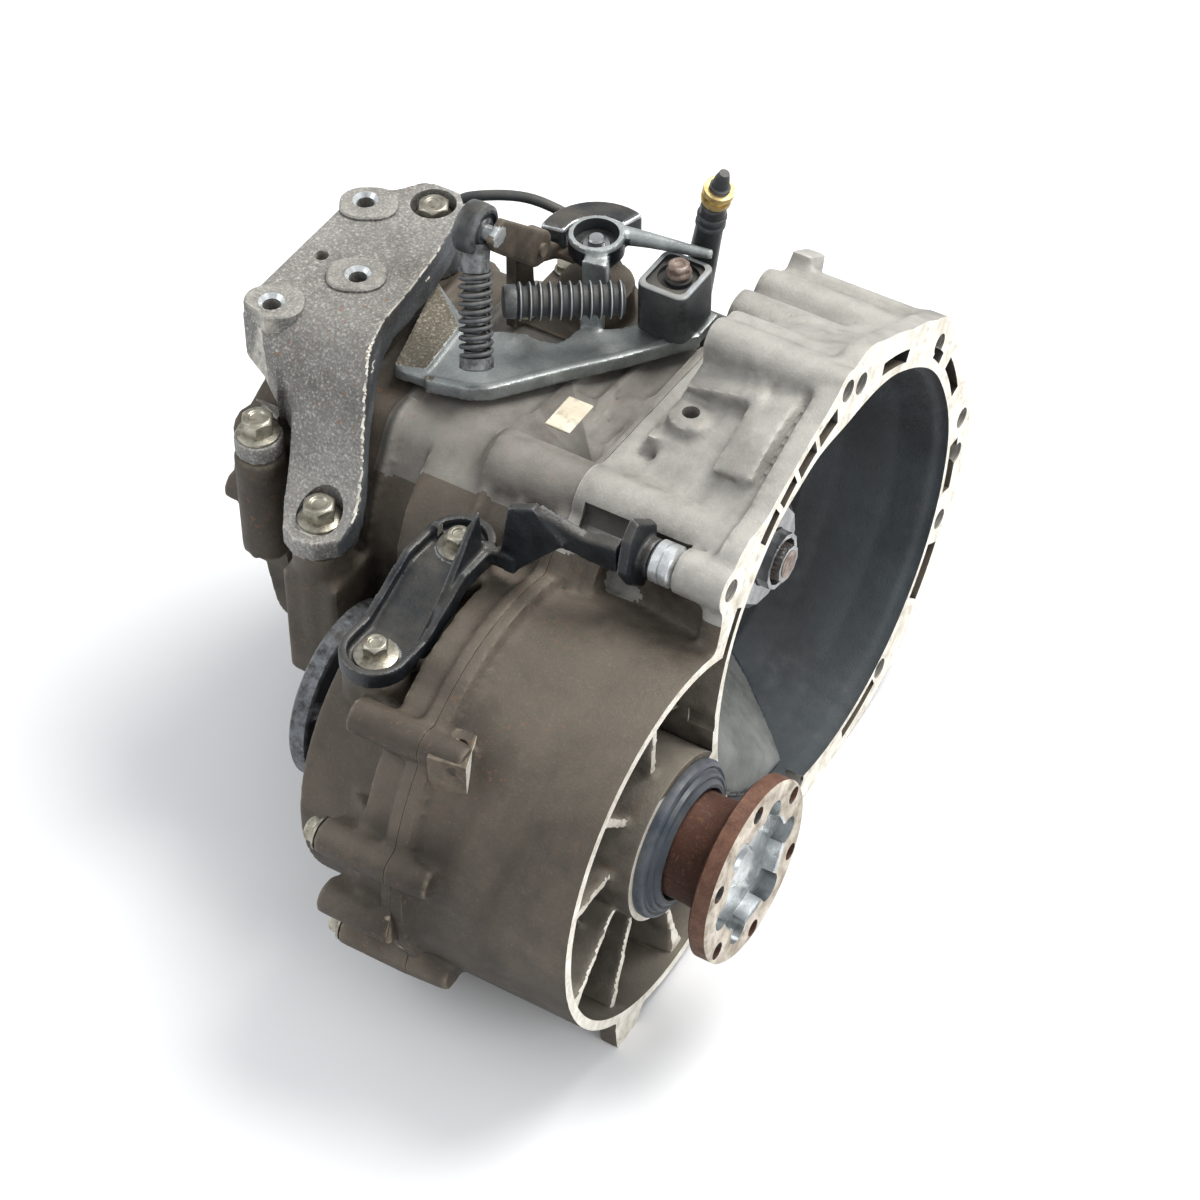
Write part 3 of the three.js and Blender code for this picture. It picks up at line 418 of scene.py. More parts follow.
def plain(name, base, other, rough=0.5, metal=0.0, dustiness=0.3, pits=0.3, edge="8d9096", worn=0.4):
    """Plastic, rubber or paint with dust on top and rubbed edges."""
    n = Nodes(name)
    mid = n.noise(70, 5, 0.6)
    fine = n.noise(700, 2)
    color = n.mix(n.spans(mid, 0.35, 0.65), hue(base), hue(other))
    dusty = n.math("MULTIPLY", n.spans(n.height(), 0.0, 1.0), n.spans(n.noise(30, 5, 0.65), 0.35, 0.7))
    color = n.mix(n.math("MULTIPLY", dusty, dustiness), color, hue("8b8374"))
    point = n.geometry.outputs["Pointiness"]
    rubbed = n.math("MULTIPLY", n.spans(point, 0.53, 0.62), n.spans(n.noise(160, 4, 0.7), 0.35, 0.6))
    color = n.mix(n.math("MULTIPLY", rubbed, worn), color, hue(edge))
    return n.finish(color, n.spans(mid, 0.3, 0.7, rough - 0.1, rough + 0.12), metal,
        ((fine, pits), (mid, pits)), 0.3)


CAST = cast("cast_light", "b0aea8", "77746e", "b4b0a8", rust=0.1, stains=0.4, grain=0.05, edge="e8e4da")
CASE = cast("cast_dark", "655c51", "39322a", "70685c", rust=0.3, stains=0.6, grain=0.03, metal=0.3,
    low=0.6, edge="b9ab93", worn=0.55)
BRACKET = cast("cast_bracket", "a3a29f", "64625f", "a8a49b", grain=0.4, pits=1.7, rust=0.5, stains=0.25,
    metal=0.45)
# painted shade: a darker bluish copy of the casting, for the walls inside the bell
SHADED_INSIDE = cast("cast_inside_painted_shade", "3f464b", "22272c", "4a4f51", rust=0.05, stains=0.4, metal=0.25, grain=0.0,
    edge="8c9094", worn=0.35)
SMOOTH_WALL = cast("cast_smooth", "6f7478", "474b4f", "7d8082", grain=0.15, pits=0.5, rust=0.2,
    metal=0.45)
# pale paint for machined faces, also used as a painted highlight on the mount bracket's edges
MACHINED_AND_HIGHLIGHT = worked("machined_face_and_painted_highlight", "efebe1", "c9c2b3", 0.42, 0.3, 0.35, 90)
BRIGHT = cast("bright_cast", "a3a9a9", "626766", "b0b4b1", rough=(0.3, 0.5), metal=0.6, grain=0.1,
    pits=0.7, rust=0.15, stains=0.15, edge="f4f5f2", low=0.25)
BROWNED = cast("bright_cast_dirty", "a39b88", "6a604f", "a79f8d", grain=0.5, pits=2.4, rust=0.1,
    metal=0.3)
ZINC = worked("zinc", "b9b4a4", "7a766b", 0.34, 0.8, 0.6, 120)
SILVER = worked("silver", "e8eaea", "aeb2b4", 0.3, 0.75, 0.25, 120)
STEEL = worked("steel", "b4b5b6", "86888a", 0.3, 0.9, 0.3)
RUSTY = cast("rusty_steel", "5c3a2c", "2f1e18", "6b4636", rust=0.5, grain=0.06, metal=0.3,
    edge="8f6a55", stains=0.5)
PALE = worked("flange_face", "cfc6b8", "8f8373", 0.5, 0.35, 0.5, 80)
GLOSS = worked("recess_bright", "d9dcdd", "8f9496", 0.25, 0.9, 0.35, 40)
BLACK = plain("black_steel", "15181c", "22262b", 0.42, 0.25, 0.28, 0.8, "a3a8ae", 0.85)
RUBBER = plain("rubber", "232629", "32363a", 0.62, 0.0, 0.35, 0.4)
SEAL = plain("seal_rubber", "2b333d", "3a444f", 0.5, 0.0, 0.4, 0.3)
PLASTIC = plain("plastic", "1b1d20", "2b2e31", 0.42, 0.0, 0.35, 0.5, "a7abad", 0.6)
# painted highlight: pale grey for the crests of black rubber and plastic ribs
RIDGE_HIGHLIGHT = plain("ridge_painted_highlight", "a9adb0", "7e8386", 0.45, 0.2, 0.5, 0.4)
BRASS = worked("brass", "d6c08a", "a78e58", 0.35, 0.7, 0.5, 150)
CREAM = worked("tag", "ded6c2", "c7bda6", 0.7, 0.0, 0.35, 60)
RED = worked("rusty_fastener", "9a8a80", "5f4f47", 0.5, 0.4, 0.5, 140)
# painted shade for the swelling in the bell: a darker copy of the casting, less deep than on the bell's
# walls, where more light reaches
SWELL_PAINTED_SHADE = cast("cast_floor_painted_shade", "7f817f", "50524f", "858783", rust=0.03, stains=0.3, metal=0.25, grain=0.0,
    edge="b5b6b4", worn=0.4)
# painted light: a lighter copy of the dark casting for the case's top
TOP_PAINTED_LIGHT = cast("cast_top_painted_light", "8b8780", "56514b", "918d85", rust=0.2, stains=0.6, metal=0.3, grain=0.03,
    edge="d0cabd", worn=0.6)
# painted light: a lighter copy of the dark casting, set against the shade in the ring's pocket
RING_PAINTED_LIGHT = cast("cast_ring_painted_light", "857e73", "544e46", "8b8477", rust=0.3, stains=0.5, metal=0.3, grain=0.03,
    edge="c9bfae", worn=0.6)


def face_data(obj):
    n = len(obj.data.polygons)
    centre = np.empty(n * 3)
    normal = np.empty(n * 3)
    obj.data.polygons.foreach_get("center", centre)
    obj.data.polygons.foreach_get("normal", normal)
    return centre.reshape(-1, 3) * 1000 - np.array(PLACE), normal.reshape(-1, 3)


def paint(obj, base, *rules):
    """Gives the piece its materials: each rule is (material, test of face centres and normals)."""
    obj.data.materials.clear()
    obj.data.materials.append(base)
    index = np.zeros(len(obj.data.polygons), np.int32)
    centre, normal = face_data(obj)
    for i, (material, test) in enumerate(rules):
        obj.data.materials.append(material)
        index[test(centre, normal)] = i + 1
    obj.data.polygons.foreach_set("material_index", index)
    return obj


def ready(obj, body, slot, *nodes, angle=35):
    smooth(obj, angle)
    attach(obj, body)
    if nodes:
        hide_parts(*nodes)
    return obj


def away(c, y, z):
    """How far face centres stand from an axis along X."""
    return np.hypot(c[:, 1] - y, c[:, 2] - z)


# ---- the axes and outlines that the castings share ----
REST_Z = -166
SPLIT_X = -105
BORE = (8, -10)
DIFF = (-175, -45)
OUT_A = (-72.06, 24.14)
OUT_B = (-40.39, -64.38)
REVERSE = (22.27, -37.95)
BELL = [
    (-160, 153), (-140, 154), (-125, 156), (-110, 158), (-98, 166), (-90, 166), (-80, 168), (-68, 173),
    (-55, 177), (-42, 177), (-30, 171), (-22, 176), (-12, 178), (-2, 176), (8, 166), (20, 160),
    (30, 164), (38, 165), (46, 158), (58, 152), (70, 153), (80, 158), (90, 151), (100, 145),
    (112, 143), (124, 146), (134, 162), (142, 162), (150, 152), (162, 146), (172, 156),
    (180, 158), (190, 152),
]
BELL_HOLES = [(120, 88), (4, 142), (20, 135), (163, -2), (160, -28), (144, -70), (75, -139),
    (-27, -146), (-121, 98)]
CASE_AXES = [(OUT_A, 64), ((0, 0), 50), (OUT_B, 64), (REVERSE, 30), ((32, 58), 24)]
REAR_AXES = [(OUT_A, 48), ((-86, 79), 8), ((-54, 78), 8)] + CASE_AXES[1:]


def bell_outline(grow):
    """The bell's outer outline, rounded between its listed points."""
    out = []
    n = len(BELL)
    for i in range(n):
        for k in range(3):
            t = k / 3
            p = [BELL[(i + d) % n] for d in (-1, 0, 1, 2)]
            deg = [q[0] for q in p]
            for j in range(1, 4):
                while deg[j] < deg[j - 1]:
                    deg[j] += 360
            r = [q[1] for q in p]
            angle = radians(deg[1] + (deg[2] - deg[1]) * t)
            blend = t * t * (3 - 2 * t)
            radius = r[1] + (r[2] - r[1]) * blend + grow
            out.append((radius * cos(angle), max(REST_Z, radius * sin(angle))))
    return out


def case_outline(grow, axes=CASE_AXES):
    return hull2([p for (y, z), r in axes for p in circle(y, z, r + grow, 96)])


def sector(r0, r1, a0, a1, n=10, centre=BORE):
    """A piece of ring in the YZ plane, its angles in degrees."""
    angles = [radians(a0 + (a1 - a0) * i / n) for i in range(n + 1)]
    out = [(centre[0] + r1 * cos(t), centre[1] + r1 * sin(t)) for t in angles]
    return out + [(centre[0] + r0 * cos(t), centre[1] + r0 * sin(t)) for t in angles[::-1]]


def spoke(t, r, s):
    """A point of the YZ plane, r out from the differential's axis and s beside it."""
    return DIFF[0] + r * cos(t) - s * sin(t), DIFF[1] + r * sin(t) + s * cos(t)


BORE_SHAPE = [(0, 138), (30, 135), (62, 131), (90, 127), (110, 134), (128, 139), (150, 140), (180, 138),
    (270, 138), (360, 138)]


def bore_outline(grow, n=120):
    """The bell's opening, a little flat on top."""
    out = []
    for i in range(n):
        deg = 360 * i / n
        for (a, ra), (b, rb) in zip(BORE_SHAPE, BORE_SHAPE[1:]):
            if a <= deg < b:
                t = (deg - a) / (b - a)
                r = ra + (rb - ra) * t * t * (3 - 2 * t) + grow
                out.append((BORE[0] + r * cos(radians(deg)), BORE[1] + r * sin(radians(deg))))
    return out


def cavity_radius(x):
    return np.interp(x, [-76, -60, -30, -4, 0], [111, 121, 133, 139, 140])


# ---- clutch housing ----
solid = [
    prism("X", bell_outline(0), -13, 3),
    prism("X", bell_outline(-15), -40, -10, bell_outline(-8)),
    prism("X", bell_outline(-27), -84, -38, bell_outline(-15)),
    prism("X", case_outline(7), SPLIT_X - 3, -80),
    prism("X", case_outline(15), SPLIT_X - 3, -97),
    bar("X", *DIFF, 115, SPLIT_X - 3, 3, 128),
    bar("X", *DIFF, 121, SPLIT_X - 3, -98, 128),
    bar("X", -82, 88, 17, SPLIT_X - 3, -22),
    prism("X", [(-110, 40), (-60, 60), (-60, 100), (-82, 104), (-100, 84)], SPLIT_X - 3, -60),
    prism("Z", [(-94, -52), (-58, -50), (-58, -12), (-84, -12)], 60, 110),
    bar("Z", -76, -32, 13, 84, 119),
    prism("Z", [(-88, -36), (-66, -44), (-62, -30), (-56, 6), (-44, 40), (-84, 30), (-88, -10)], 84,
        119),
    bar("X", 98, 99, 14, -104, -3),
    bar("X", 68, 104, 15, -104, -12),
    prism("X", [(96, 80), (124, 84), (130, 98), (118, 110), (108, 104)], -98, 0),
    prism("X", [(112, 80), (134, 84), (140, 104), (120, 116)], -98, -84),
    prism("X", [(-236, -166), (-214, -166), (-200, -140), (-224, -128), (-238, -146)], -12, 3),
    box(-96, -84, -240, -214, -70, -20),
    bar("X", -92, 92, 18, -112, -18),
]
for y, z in BELL_HOLES:
    z = max(z, REST_Z + 13)
    solid.append(bar("X", y, z, 13, -31 if y == -121 else -84, 3))
    if y != -121:
        inward = Vector((y, z)).normalized()
        side = Vector((-inward.y, inward.x))
        a, b = Vector((y, z)) + side * 12, Vector((y, z)) - side * 12
        c, d = a - inward * 34, b - inward * 34
        solid.append(prism("X", [tuple(a), tuple(c), tuple(d), tuple(b)], -84, -30))
# plates on the bell's top, and a rib that runs round the joint
solid.append(prism("X", sector(90, 128, 58, 100, 20, (0, 0)), -86, -40,
    sector(90, 140, 62, 100, 20, (0, 0))))
solid.append(prism("X", sector(100, 137, 72, 119, 16, (0, 0)), -44, -19,
    sector(100, 141, 72, 119, 16, (0, 0))))
solid.append(prism("X", case_outline(11), -95, -89))
for angle in (2.9, 3.7, 4.3, 2.3, 4.9):
    y, z = DIFF[0] + 120 * cos(angle), DIFF[1] + 120 * sin(angle)
    solid.append(bar("X", y, z, 10.5, SPLIT_X - 3, -80, r2=9))
clutch = fuse(put("clutch_casting", *solid), 2.3, 5)
clutch = carve(
    clutch,
    box(0, 40, -400, 400, -300, 300),
    box(-200, SPLIT_X, -400, 400, -300, 300),
    box(-400, 400, -400, 400, -300, REST_Z),
    bar("X", *STUD_BOSS, 15, -98, -31),
)
cavity = [
    prism("X", bore_outline(0), -5, 8),
    prism("X", bore_outline(-7), -30, -4, bore_outline(-2)),
    prism("X", bore_outline(-19), -60, -29, bore_outline(-7)),
    prism("X", bore_outline(-29), -76, -59, bore_outline(-19)),
]
cavity = fuse(put("cavity", *cavity), 2.4, 2)
# what stands in the bell: the swelling over the differential, a step, and ribs of the back wall
swelling = [
    wedge((-79, -92, -14), (-79, 38, -128), (-79, -130, 0), (-79, -60, -150), (-10, -128, -20),
        (-8, -110, -80), (-12, -70, -124), (-14, -20, -140), (-52, 6, -138), (-34, -92, -40),
        (-66, -40, -70)),
    wedge((-79, 30, 84), (-79, 60, 120), (-62, 66, 118), (-62, 40, 92), (-79, 96, 60), (-62, 96, 70)),
    turned("X", 0, 0, [(-77, 0), (-77, 44), (-72, 42), (-71, 0)], 64),
]
for deg in (8, 62, 112, 158):
    t = radians(deg)
    p, q = Vector((40 * cos(t), 40 * sin(t))), Vector((116 * cos(t), 116 * sin(t)))
    swelling.append(beam((-76, *p), (-74, *q), 8, 8, (1, 0, 0)))
cavity = carve(cavity, fuse(put("swelling", *swelling), 2.4, 5))
clutch = carve(clutch, cavity)
# the ring round the differential: a deep pocket with ribs from its boss
pocket = put("pocket", bar("X", *DIFF, 109, -36, 4, 128))
keep = [bar("X", *DIFF, 50, -50, 8, 64), turned("X", *DIFF,
    [(-40, 66), (-40, 68.5), (-22, 68.5), (-22, 66)], 96)]
for i in range(8):
    t = radians(96 + 36 * i)
    deep = -2.5 if i % 2 else -6
    keep.append(wedge(*[(x, *spoke(t, r, s)) for r, x,
        w in ((42, -40, 3), (42, -12, 2.6), (116, -40, 4), (116, deep, 3.2)) for s in (-w, w)]))
    if i % 2:
        keep.append(wedge(*[(x, *spoke(t, r, s)) for r, x,
            w in ((94, -40, 3), (94, deep - 4, 2.4), (116, -40, 12), (116, deep, 9)) for s in (-w, w)]))
keep = fuse(put("keep", *keep), 1.7, 2)
pocket = carve(pocket, keep, bar("X", *BORE, 144, -60, 30, 128))
clutch = carve(clutch, pocket)
boss = put("boss", turned("X", *DIFF, [(-88, 0), (-88, 50), (-2, 49), (0, 47.6), (0, 0)], 96))
clutch = weld(clutch, boss)
tools = [
    bar("X", *DIFF, 107, SPLIT_X - 1, -88, 96),
    prism("X", case_outline(1), SPLIT_X - 1, -88),
    bar("X", *DIFF, 39.3, -7, 1, 64),
    bar("X", *DIFF, 33, -20, 1, 64),
    bar("X", *DIFF, 25.3, -90, -6, 64),
    bar("X", 0, 0, 14.3, -90, -60, 48),
    bar("X", 85.2, 59.7, 9, -100, -60, 32),
    bar("Z", -76, -32, 5, 98, 130, 32),
    bar("Z", -40, -60, 7, -180, -100, 32),
    rod((-84, 86, -46), (-60, 80, -44), 6),
    prism("X", rounded(-150, -134, 0, 15, 5), -16, 1),
    prism("Y", [(-52, -93), (-38, -93), (-34, -90), (-34, -87), (-52, -87)], -241, -213),
]
for y, z in BELL_HOLES:
    tools.append(bar("X", y, max(z, REST_Z + 13), 5.6, -30, 1, 28))
    tools.append(bar("X", y, max(z, REST_Z + 13), 6.6, -1.6, 1, 28))
# the rim is a double wall with cross ribs between its bolt bosses
CHANNEL = (
    (138, 149, 96, 104), (139, 150, 105.5, 113), (142, 151, 114.5, 121), (144, 153, 122.5, 130),
    (144, 150, 144, 156), (140, 147, 36, 42), (142, 150, 16, 30), (142, 152, -16, -2),
    (142, 155, -44, -30), (142, 150, -82, -66), (136, 144, 60, 74),
)
for r0, r1, a0, a1 in CHANNEL:
    tools.append(prism("X", sector(r0, r1, a0, a1), -9, 2))
clutch = carve(clutch, *tools)
clutch.name = "clutch_casting"


def rim(c, n):
    return (c[:, 0] > -0.2) & (n[:, 0] > 0.9)


def in_bell(c, n):
    out = (c[:, 1:] - np.array(BORE)) / np.maximum(away(c, *BORE), 1)[:, None]
    facing_in = (n[:, 1:] * out).sum(1) < 0.25
    return (away(c, *BORE) < cavity_radius(c[:, 0]) + 1.5) & (c[:, 0] > -77) & ~rim(c, n) & facing_in


def in_channel(c, n):
    angle = np.degrees(np.arctan2(c[:, 2] - BORE[1], c[:, 1] - BORE[0]))
    test = np.zeros(len(c), bool)
    for r0, r1, a0, a1 in CHANNEL:
        turn = (angle - a0) % 360
        test |= (turn > -0.6) & (turn < a1 - a0 + 0.6) & (away(c, *BORE) > r0 - 0.6) & (away(c,
            *BORE) < r1 + 0.6)
    return test & (c[:, 0] < -1) & (c[:, 0] > -9.5)


def swell(c, n):
    return (in_bell(c, n) & (c[:, 2] < -8) & (c[:, 1] < 48) & (c[:, 0] > -73)
        & (away(c, *BORE) < cavity_radius(c[:, 0]) - 7))


def on_barrel(c, n):
    return (c[:, 1] < -112) & (c[:, 2] < 80) & (away(c, *DIFF) > 110.5) & (away(c, *BORE) > 143)


def in_ring(c, n):
    return (away(c, *DIFF) < 110) & (c[:, 0] > -37) & (away(c, *BORE) > 140) & ~rim(c, n)


def rib_tops(c, n):
    return (away(c, *DIFF) < 110) & (away(c, *DIFF) > 52) & (c[:, 0] > -20) & (n[:,
        0] > 0.86) & (away(c, *BORE) > 140)


# inside the bell the casting is painted with shade, deepest on the walls and less on the swelling; the
# ring's pocket gets a lighter copy as painted light
paint(clutch, CAST, (CASE, on_barrel), (RING_PAINTED_LIGHT, in_ring), (SHADED_INSIDE, in_bell), (SWELL_PAINTED_SHADE, swell),
    (CASE, in_channel), (MACHINED_AND_HIGHLIGHT, rim), (MACHINED_AND_HIGHLIGHT, rib_tops),
    (CASE, lambda c, n: (away(c, *DIFF) < 47.4) & (c[:, 0] > -40)))
ready(clutch, "housing", "cast_light", "clutch_housing")

# ---- gearbox housing ----
SPLIT_BOLTS = [(DIFF[0] + 120 * cos(t), DIFF[1] + 120 * sin(t)) for t in (2.9, 3.7, 4.3)]
solid = [
    prism("X", case_outline(7), -200, SPLIT_X + 3),
    prism("X", case_outline(7, REAR_AXES), -315, -199),
    prism("X", case_outline(15), -112, SPLIT_X + 3),
    bar("X", *DIFF, 115, -130.5, SPLIT_X + 3, 128),
    bar("X", *DIFF, 121, -113, SPLIT_X + 3, 128),
    bar("X", *DIFF, 96, -182, -130.4, 112),
    bar("X", *DIFF, 60, -186, -180, 96),
    bar("X", -82, 88, 17, -165, SPLIT_X + 3, 56),
    bar("X", -82, 88, 12, -169, -160, 56),
    prism("X", [(-118, 20), (-60, 60), (-60, 100), (-82, 104), (-110, 84)], -164, SPLIT_X + 3),
    bar("Z", -151, -150, 19, 0, 73),
    bar("Z", -156, -225, 19, -30, 53),
    bar("Z", -242, -152, 17, -40, 39),
    prism("Z", [(-260, -168), (-224, -168), (-224, -90), (-260, -90)], -60, 20),
    bar("Z", -297, -130, 15, -10, 64),
    prism("Z", [(-312, -128), (-286, -128), (-286, -80), (-312, -80)], -30, 30),
    bar("Z", -282, 30, 16, 60, 91),
    prism("Z", rounded(-218, -142, 6, 68, 8), 60, 92),
    prism("X", [(-110, -80), (-20, -90), (-34, REST_Z - 3), (-88, REST_Z - 3)], -262, -216),
    # round bosses and raised plates on the case's top
    bar("X", -24, 79, 11, -176, SPLIT_X + 3),
    bar("Z", -116, -24, 13, 70, 95),
    wedge((-229, -94, 60), (-183, -94, 60), (-229, -94, 84), (-183, -94, 84), (-229, -30, 96),
        (-183, -30, 96), (-229, -30, 60), (-183, -30, 60)),
    box(-158, -130, -64, -28, 70, 96.2),
    bar("X", -92, 90, 18, -163, SPLIT_X + 3),
    bar("X", -92, 90, 12, -168, -160),
]
for x in (-135, -158, -226, -262, -292):
    solid.append(prism("X", case_outline(11, CASE_AXES if x > -200 else REAR_AXES), x - 2.5, x + 2.5))
for i in range(9):
    t = radians(112 + 23 * i)
    solid.append(wedge(*[(x, *spoke(t, r, s)) for r,
        x in ((60, -186), (112, -133), (60, -176), (96, -130)) for s in (-3, 3)]))
for t in (2.3, 2.9, 3.3, 3.7, 4.0, 4.3, 4.9):
    y, z = DIFF[0] + 120 * cos(t), DIFF[1] + 120 * sin(t)
    solid.append(bar("X", y, z, 10.5, -150, SPLIT_X + 3))
    web = [spoke(t, 120, -9), spoke(t, 120, 9), spoke(t, 92, 9), spoke(t, 92, -9)]
    solid.append(prism("X", web, -146, -128))
gearbox = fuse(put("gearbox_casting", *solid), 2.4, 5)
tools = [
    box(SPLIT_X - 0.3, 40, -400, 400, -300, 300),
    box(-400, -312, -400, 400, -300, 300),
    box(-400, 400, -400, 400, -300, REST_Z),
    prism("X", case_outline(1), -194, -100),
    prism("X", case_outline(1, REAR_AXES), -300, -193),
    prism("X", hull2(circle(0, 0, 24) + circle(*OUT_A, 24) + circle(*OUT_B, 24)), -320, -299),
    bar("X", *DIFF, 107, -126, -100, 96),
    bar("X", *DIFF, 62, -168, -120, 64),
    bar("X", *DIFF, 25.3, -195, -160, 48),
    bar("X", *DIFF, 39.3, -195, -180.5, 64),
    bar("Z", *SELECTOR, 17, 40, 110, 48),
    bar("Y", 40, -240, 8.3, 40, 90, 32),
    box(-248, -230, -160, 0, REST_Z - 1, -140),
    rod((-290, -120, -101), (-285, -60, -60), 9.3),
    rod((-300, -145, -120), (-287, -114.4, -97.8), 13),
    box(-275, -108, -80, 66, 95.3, 120),
]
for x, y, z in ((-151, -150, 73), (-156, -225, 53), (-242, -152, 39), (-297, -130, 64), (-282, 30, 91)):
    tools.append(bar("Z", x, y, 22 if z != 91 else 17, z, z + 12, 48))
    tools.append(bar("Z", x, y, 5.3, z - 26, z + 2, 28))
tools.append(prism("Z", rounded(-219, -141, 5, 69, 8), 92, 99))
for y, z in SPLIT_BOLTS:
    tools += [bar("X", y, z, 12, -160, -150), bar("X", y, z, 4.3, -170, -100, 24)]
gearbox = carve(gearbox, *tools)
gearbox.name = "gearbox_casting"
# the top of the gearbox case gets the lighter copy of the casting, painted light
paint(gearbox, CASE, (TOP_PAINTED_LIGHT, lambda c, n: (c[:, 0] > -232) & (c[:, 1] > -114) & (c[:, 2] > 66)))
ready(gearbox, "housing", "cast_dark", "gearbox_housing")

# a pale slotted lug on the ring, at the joint between the castings
lug = put("ring_lug", prism("Z", [(-110, -230), (-90, -221), (-76, -262), (-98, -266)], 12, 50))
lug = bevel(carve(lug, rod((-88, -250, 60), (-88, -250, 34), 4.5)), 3, 3)
lug = settle(lug)
paint(lug, CASE, (MACHINED_AND_HIGHLIGHT, lambda c, n: (n[:, 0] > 0.5)))
ready(lug, "housing", "cast_dark")

tag = put("blank_tag", prism("Z", [(-153, -59), (-137, -59), (-137, -33), (-153, -33)], 95, 96.2))
paint(bevel(tag, 0.5), CREAM)
ready(tag, "housing", "plastic")

# ---- end cover ----
outline = hull2(circle(*OUT_A, 58, 96) + circle(0, 0, 46, 96) + circle(*OUT_B, 60, 96))
solid = [prism("X", outline, -320, -309)]
for y, z, r in ((0, 0, 30), (*OUT_A, 28), (*OUT_B, 28)):
    solid.append(bar("X", y, z, r, -330, -318, 64, r - 2))
for i in range(9):
    p = outline[int(len(outline) * i / 9)]
    inward = (Vector((-38, -14)) - Vector(p)).normalized() * 5
    solid.append(bar("X", p[0] + inward.x, p[1] + inward.y, 9, -323, -309, 32))
cover = fuse(put("end_casting", *solid), 2.2, 4)
cover = carve(cover, box(-312.3, 0, -400, 400, -300, 300))
paint(cover, CASE)
ready(cover, "housing", "cast_dark", "end_cover")


# ---- fasteners ----
def bolt(name, body, slot, node, axis, a, b, seat, end, shank=5, across=16, head=8, washer=None,
        look=None):
    """A hex bolt with a flange; the head is bevelled and dished as a forged one is."""
    out = 1 if seat > end else -1
    r = across / sqrt(3)
    wide = washer or across * 0.74
    parts = [
        turned(axis, a, b, [(seat, 0), (seat, wide), (seat + out * 1.4, wide),
            (seat + out * 2.8, across * 0.56), (seat + out * 2.8, 0)], 48),
        turned(axis, a, b, [(min(seat, end), 0), (min(seat, end), shank), (max(seat, end), shank),
            (max(seat, end), 0)], 32),
    ]
    obj = put(name, *parts)
    hexagon = put("hexagon", bar(axis, a, b, r, seat + out * 2.6, seat + out * (2.6 + head), 6))
    top = seat + out * (2.6 + head)
    crown = put("crown", turned(axis, a, b, [(seat, 0), (seat, r + 2), (top - out * 2.2, r + 0.4),
        (top, across * 0.44), (top, across * 0.3), (top - out * 1.1, across * 0.24),
        (top - out * 1.1, 0)], 48))
    hexagon = shape(hexagon, [crown], "INTERSECT")
    bevel(hexagon, 0.5, 2, 30)
    settle(hexagon)
    paint(join(obj, hexagon), look or ZINC)
    return ready(obj, body, slot, node)


for i, (x, y, seat, pad) in enumerate(((-282, 30, 123, 91), (-242, -152, 55, 39),
    (-297, -130, 76, 64))):
    bolt(f"mount_screw_{i + 1}", "housing", "zinc", f"mount_bolt_{i + 1}", "Z", x, y, seat + 0.3,
        pad - 20, 5, 17, 10, 12.4)
for i, (x, y, pad) in enumerate(((-151, -150, 73), (-156, -225, 53))):
    bolt(f"support_screw_{i + 1}", "housing", "zinc", f"support_bolt_{i + 1}", "Z", x, y, pad + 5.3,
        pad - 20, 5, 13, 8, 12.2)
for i, (y, z) in enumerate(SPLIT_BOLTS):
    bolt(f"case_screw_{i + 1}", "housing", "zinc", f"case_bolt_{i + 1}", "X", y, z, -150.3, -90, 4,
        13, 6)
bolt("cable_pin_screw", "shifter", "rusty_steel", "shift_cable_pin", "Z", -127, 42, 142.3, 101, 4, 12,
    4, 7.4, RED)

# ---- mount bracket ----
MOUNT_HOLES = [(-316, 11), (-311, -90), (-283, -46)]
plan = [(-326, 22), (-308, 30), (-298, 44), (-290, 47), (-275, 47), (-266, 38), (-262, 26), (-256, -8),
    (-252, -40), (-250, -70), (-244, -92), (-236, -110), (-226, -130), (-221, -146), (-223, -160),
    (-234, -171), (-246, -173), (-257, -167), (-266, -152), (-276, -128), (-281, -118),
    (-290, -112), (-326, -108)]
profile = [(50, 135), (-85, 135), (-96, 130), (-106, 119), (-122, 94), (-136, 72), (-146, 63),
    (-160, 55), (-176, 55), (-176, 41), (-150, 41), (-122, 58), (-104, 84), (-92, 106), (-78, 119),
    (50, 119)]
plate = put("mount_casting", prism("Z", plan, 0, 200))
plate = shape(plate, [prism("X", profile, -340, -200)], "INTERSECT")
wall = put("wall", prism("X", [(46, 126), (-80, 126), (-100, 116), (-134, 68), (-158, 54), (-158, 46),
    (-140, 46), (-124, 62), (-104, 86), (-86, 106), (-60, 112.5), (10, 112.5)], -270, -200))
wall = shape(wall, [prism("Z", [(-262, 32), (-253, -20), (-250, -70), (-236, -110), (-222, -140),
    (-230, -142), (-244, -112), (-258, -70), (-261, -20), (-270, 30)], 0, 200)], "INTERSECT")
rest = put(
    "rest",
    prism("X", [(12, 130), (-100, 124), (-100, 100), (-60, 96), (12, 110)], -326, -318),
    bar("Z", -282, 30, 16, 91.3, 124), bar("Z", -297, -130, 14, 64.3, 76),
    prism("X", [(-80, 128), (-100, 116), (-134, 76), (-134, 66), (-122, 66), (-98, 98), (-84, 110)],
        -308, -294),
    bar("Z", -242, -152, 16, 39.3, 54),
)
mount = fuse(join(plate, wall, rest), 1.6, 4)


def pad(x, y, turn, long=17, wide=14.5):
    """An oblong raised pad round a tapped hole."""
    c, s = cos(turn), sin(turn)
    pts = []
    for i in range(40):
        t = TAU * i / 40
        u, v = long * cos(t), wide * sin(t)
        u = copysign(abs(u / long) ** 0.8, u) * long
        v = copysign(abs(v / wide) ** 0.8, v) * wide
        pts.append((x + u * c - v * s, y + u * s + v * c))
    return bevel_prism(pts, 126, 137.2)


